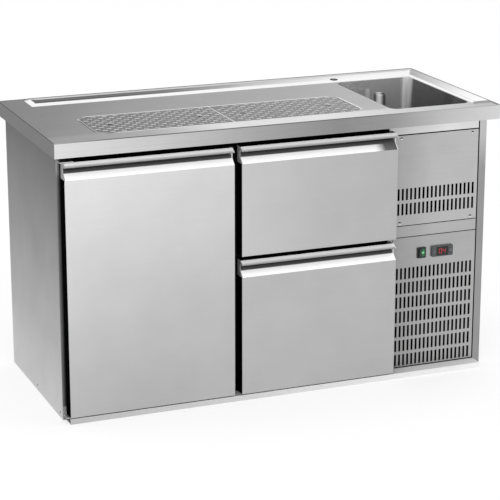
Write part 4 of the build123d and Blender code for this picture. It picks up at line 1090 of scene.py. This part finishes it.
def make_digits():
    """Two seven-bar digits that show a cold-room temperature."""
    low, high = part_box("thermostat_window")
    middle = (low + high) / 2
    half_wide = digit_width / 2
    half_tall = digit_height / 2
    bars = []
    for offset, lit in shown_digits:
        x = middle.x + offset
        spots = {
            "a": (x, middle.z + half_tall, True),
            "g": (x, middle.z, True),
            "d": (x, middle.z - half_tall, True),
            "f": (x - half_wide, middle.z + half_tall / 2, False),
            "b": (x + half_wide, middle.z + half_tall / 2, False),
            "e": (x - half_wide, middle.z - half_tall / 2, False),
            "c": (x + half_wide, middle.z - half_tall / 2, False),
        }
        for letter in lit:
            bar_x, bar_z, flat = spots[letter]
            long = digit_width * 0.9 if flat else digit_height * 0.46
            size = (long, bar_width) if flat else (bar_width, long)
            bars.append(make_segment(bar_x, bar_z, size[0], size[1], low.y))
    dress(join_all(bars, "display_digits"), digit_red, "counter")


make_digits()


# Rivets low on the side panels
rivet_radius = 0.0032
rivet_height = 0.0014
rivet_proud = 0.0003
rivet_dome = 0.0009
rivet_places = (0.019, -0.245)
rivet_rise = 0.017


def make_rivets():
    """Small domed rivets that hold the side sheets to the base."""
    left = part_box("side_panel_left")[0].x
    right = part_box("side_panel_right")[1].x
    turn = (0.0, math.pi / 2, 0.0)
    heads = []
    for face, side in ((left, -1), (right, 1)):
        for y in rivet_places:
            place = (face + side * rivet_proud, y, rivet_rise)
            head = add_disc("rivet", place, rivet_radius, rivet_height, 16, turn)
            choose(head, "FACE", lambda middle, normal: normal.x * side > 0.9)
            bpy.ops.mesh.bevel(offset=rivet_dome, segments=2, affect="EDGES")
            leave_edit()
            smooth_sides(head, 30)
            heads.append(head)
    dress(join_all(heads, "side_rivets"), rivet_finish, "counter")


make_rivets()


# Ribbed door and drawer seals
seal_width = 0.014
seal_wall = 0.0012
seal_steps = (0.002, 0.002, 0.003, 0.003, 0.002)
seal_crown = (0.003, 0.011)
seal_groove = (0.006, 0.008)


def make_seal(node, body):
    """Bellows seal round the back of a front, in place of the CAD's plain ring."""
    low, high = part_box(node)
    base = low.y + seal_wall
    rise = high.y - base
    middle = ((low.x + high.x) / 2, base, (low.z + high.z) / 2)
    turn = (-math.pi / 2, 0.0, 0.0)
    seal = add_sheet(node + "_ribbed", middle, high.x - low.x, high.z - low.z, turn)
    choose(seal, "FACE", lambda middle, normal: True)
    for step in seal_steps + (seal_width - sum(seal_steps),):
        bpy.ops.mesh.inset(thickness=step, depth=0.0)
    bpy.ops.mesh.delete(type="FACE")
    leave_edit()

    def from_edge(point):
        return min(point.x - low.x, high.x - point.x, point.z - low.z, high.z - point.z)

    for (near, far), lift in ((seal_crown, rise), (seal_groove, -rise / 2)):
        choose(seal, "VERT", lambda point: near < from_edge(point) < far)
        bpy.ops.transform.translate(value=(0.0, lift, 0.0))
        leave_edit()
    thicken(seal, seal_wall)
    smooth_sides(seal, 50)
    dress(seal, seal_finish, body)
    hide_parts(node)


make_seal("door_gasket", "door")
make_seal("upper_drawer_gasket", "upper_drawer")
make_seal("lower_drawer_gasket", "lower_drawer")


# Softened edges on folded sheets and mouldings
sheet_ease = 0.0008
key_ease = 0.0005


def ease_edges(node, width):
    """Live bevel on a CAD node's sharp edges, so that they catch the light."""
    weld = nodes[node].modifiers.new("joined", "WELD")
    weld.merge_threshold = 0.00001
    bevel = nodes[node].modifiers.new("eased", "BEVEL")
    bevel.width = width
    bevel.segments = 2
    bevel.limit_method = "ANGLE"
    bevel.angle_limit = math.radians(40)


for node in ("door_front", "upper_drawer_front", "lower_drawer_front", "thermostat_case", "switch_housing"):
    ease_edges(node, sheet_ease)
for node in ("thermostat_key_left", "thermostat_key_right", "switch_rocker"):
    ease_edges(node, key_ease)


# Camera, at the photograph's place
camera_place = (-2.298, -5.799, 2.243)
camera_yaw = 21.67
camera_pitch = 16.46
focal_pixels = 1956
photo_pixels = 500
sensor_width = 36.0


def aim_camera():
    """Camera without shift; yaw is to the right of straight ahead, pitch is downwards."""
    deselect()
    turn = (math.pi / 2 - math.radians(camera_pitch), 0.0, -math.radians(camera_yaw))
    bpy.ops.object.camera_add(location=camera_place, rotation=turn)
    camera = bpy.context.active_object
    camera.data.sensor_width = sensor_width
    camera.data.lens = sensor_width * focal_pixels / photo_pixels
    camera.data.clip_end = 60.0
    bpy.context.scene.camera = camera


aim_camera()


# Studio: pale floor, white surroundings and soft lamps
white = (1.0, 1.0, 1.0, 1.0)
lamp_size = 3.0


def light_world():
    """Even white surroundings."""
    world = bpy.data.worlds.new("studio")
    bpy.context.scene.world = world
    world.use_nodes = True
    tree = world.node_tree
    feed(tree, tree.nodes["Background"], {"Color": white, "Strength": 1.0})


def brighten_floor(tree, shader):
    """Lightens the floor where it is seen, directly or mirrored, and keeps part of the shadow."""
    rays = tree.nodes.new("ShaderNodeLightPath")
    seen = rays.outputs["Is Camera Ray"]
    for kind in ("Is Glossy Ray", "Is Transmission Ray"):
        inputs = {0: seen, 1: rays.outputs[kind]}
        seen = add_node(tree, "ShaderNodeMath", inputs, "MAXIMUM").outputs["Value"]
    glow = add_node(tree, "ShaderNodeEmission", {"Color": white, "Strength": 1.0})
    share = spread_node(tree, seen, 0.0, 0.6)
    inputs = {"Fac": share, 1: shader.outputs["BSDF"], 2: glow.outputs["Emission"]}
    blend = add_node(tree, "ShaderNodeMixShader", inputs)
    feed(tree, tree.nodes["Material Output"], {"Surface": blend.outputs["Shader"]})


def lay_floor():
    """Wide white floor that keeps the counter's soft shadow."""
    deselect()
    bpy.ops.mesh.primitive_plane_add(size=40.0, location=(0.0, 0.0, -0.0005))
    floor = bpy.context.active_object
    floor.name = "studio_floor"
    finish, tree, shader = start_finish("floor_white")
    feed(tree, shader, {"Base Color": (0.98, 0.98, 0.98, 1.0), "Roughness": 0.9, "Specular IOR Level": 0.0})
    brighten_floor(tree, shader)
    floor.data.materials.append(finish)


def add_lamp(name, place, target, power):
    """Square soft lamp aimed at a point."""
    lamp = bpy.data.lights.new(name, "AREA")
    lamp.shape = "SQUARE"
    lamp.size = lamp_size
    lamp.energy = power
    holder = bpy.data.objects.new(name, lamp)
    bpy.context.scene.collection.objects.link(holder)
    holder.location = place
    aim = Vector(target) - Vector(place)
    holder.rotation_mode = "QUATERNION"
    holder.rotation_quaternion = aim.to_track_quat("-Z", "Y")


light_world()
lay_floor()
add_lamp("key_lamp", (-2.0, -5.2, 3.4), (0.0, 0.0, 0.5), 90.0)
add_lamp("fill_lamp", (3.6, -3.2, 3.0), (0.0, 0.0, 0.5), 6.0)
add_lamp("top_lamp", (0.0, 0.6, 4.5), (0.0, 0.0, 0.8), 6.0)

bpy.context.scene.view_settings.view_transform = "Standard"
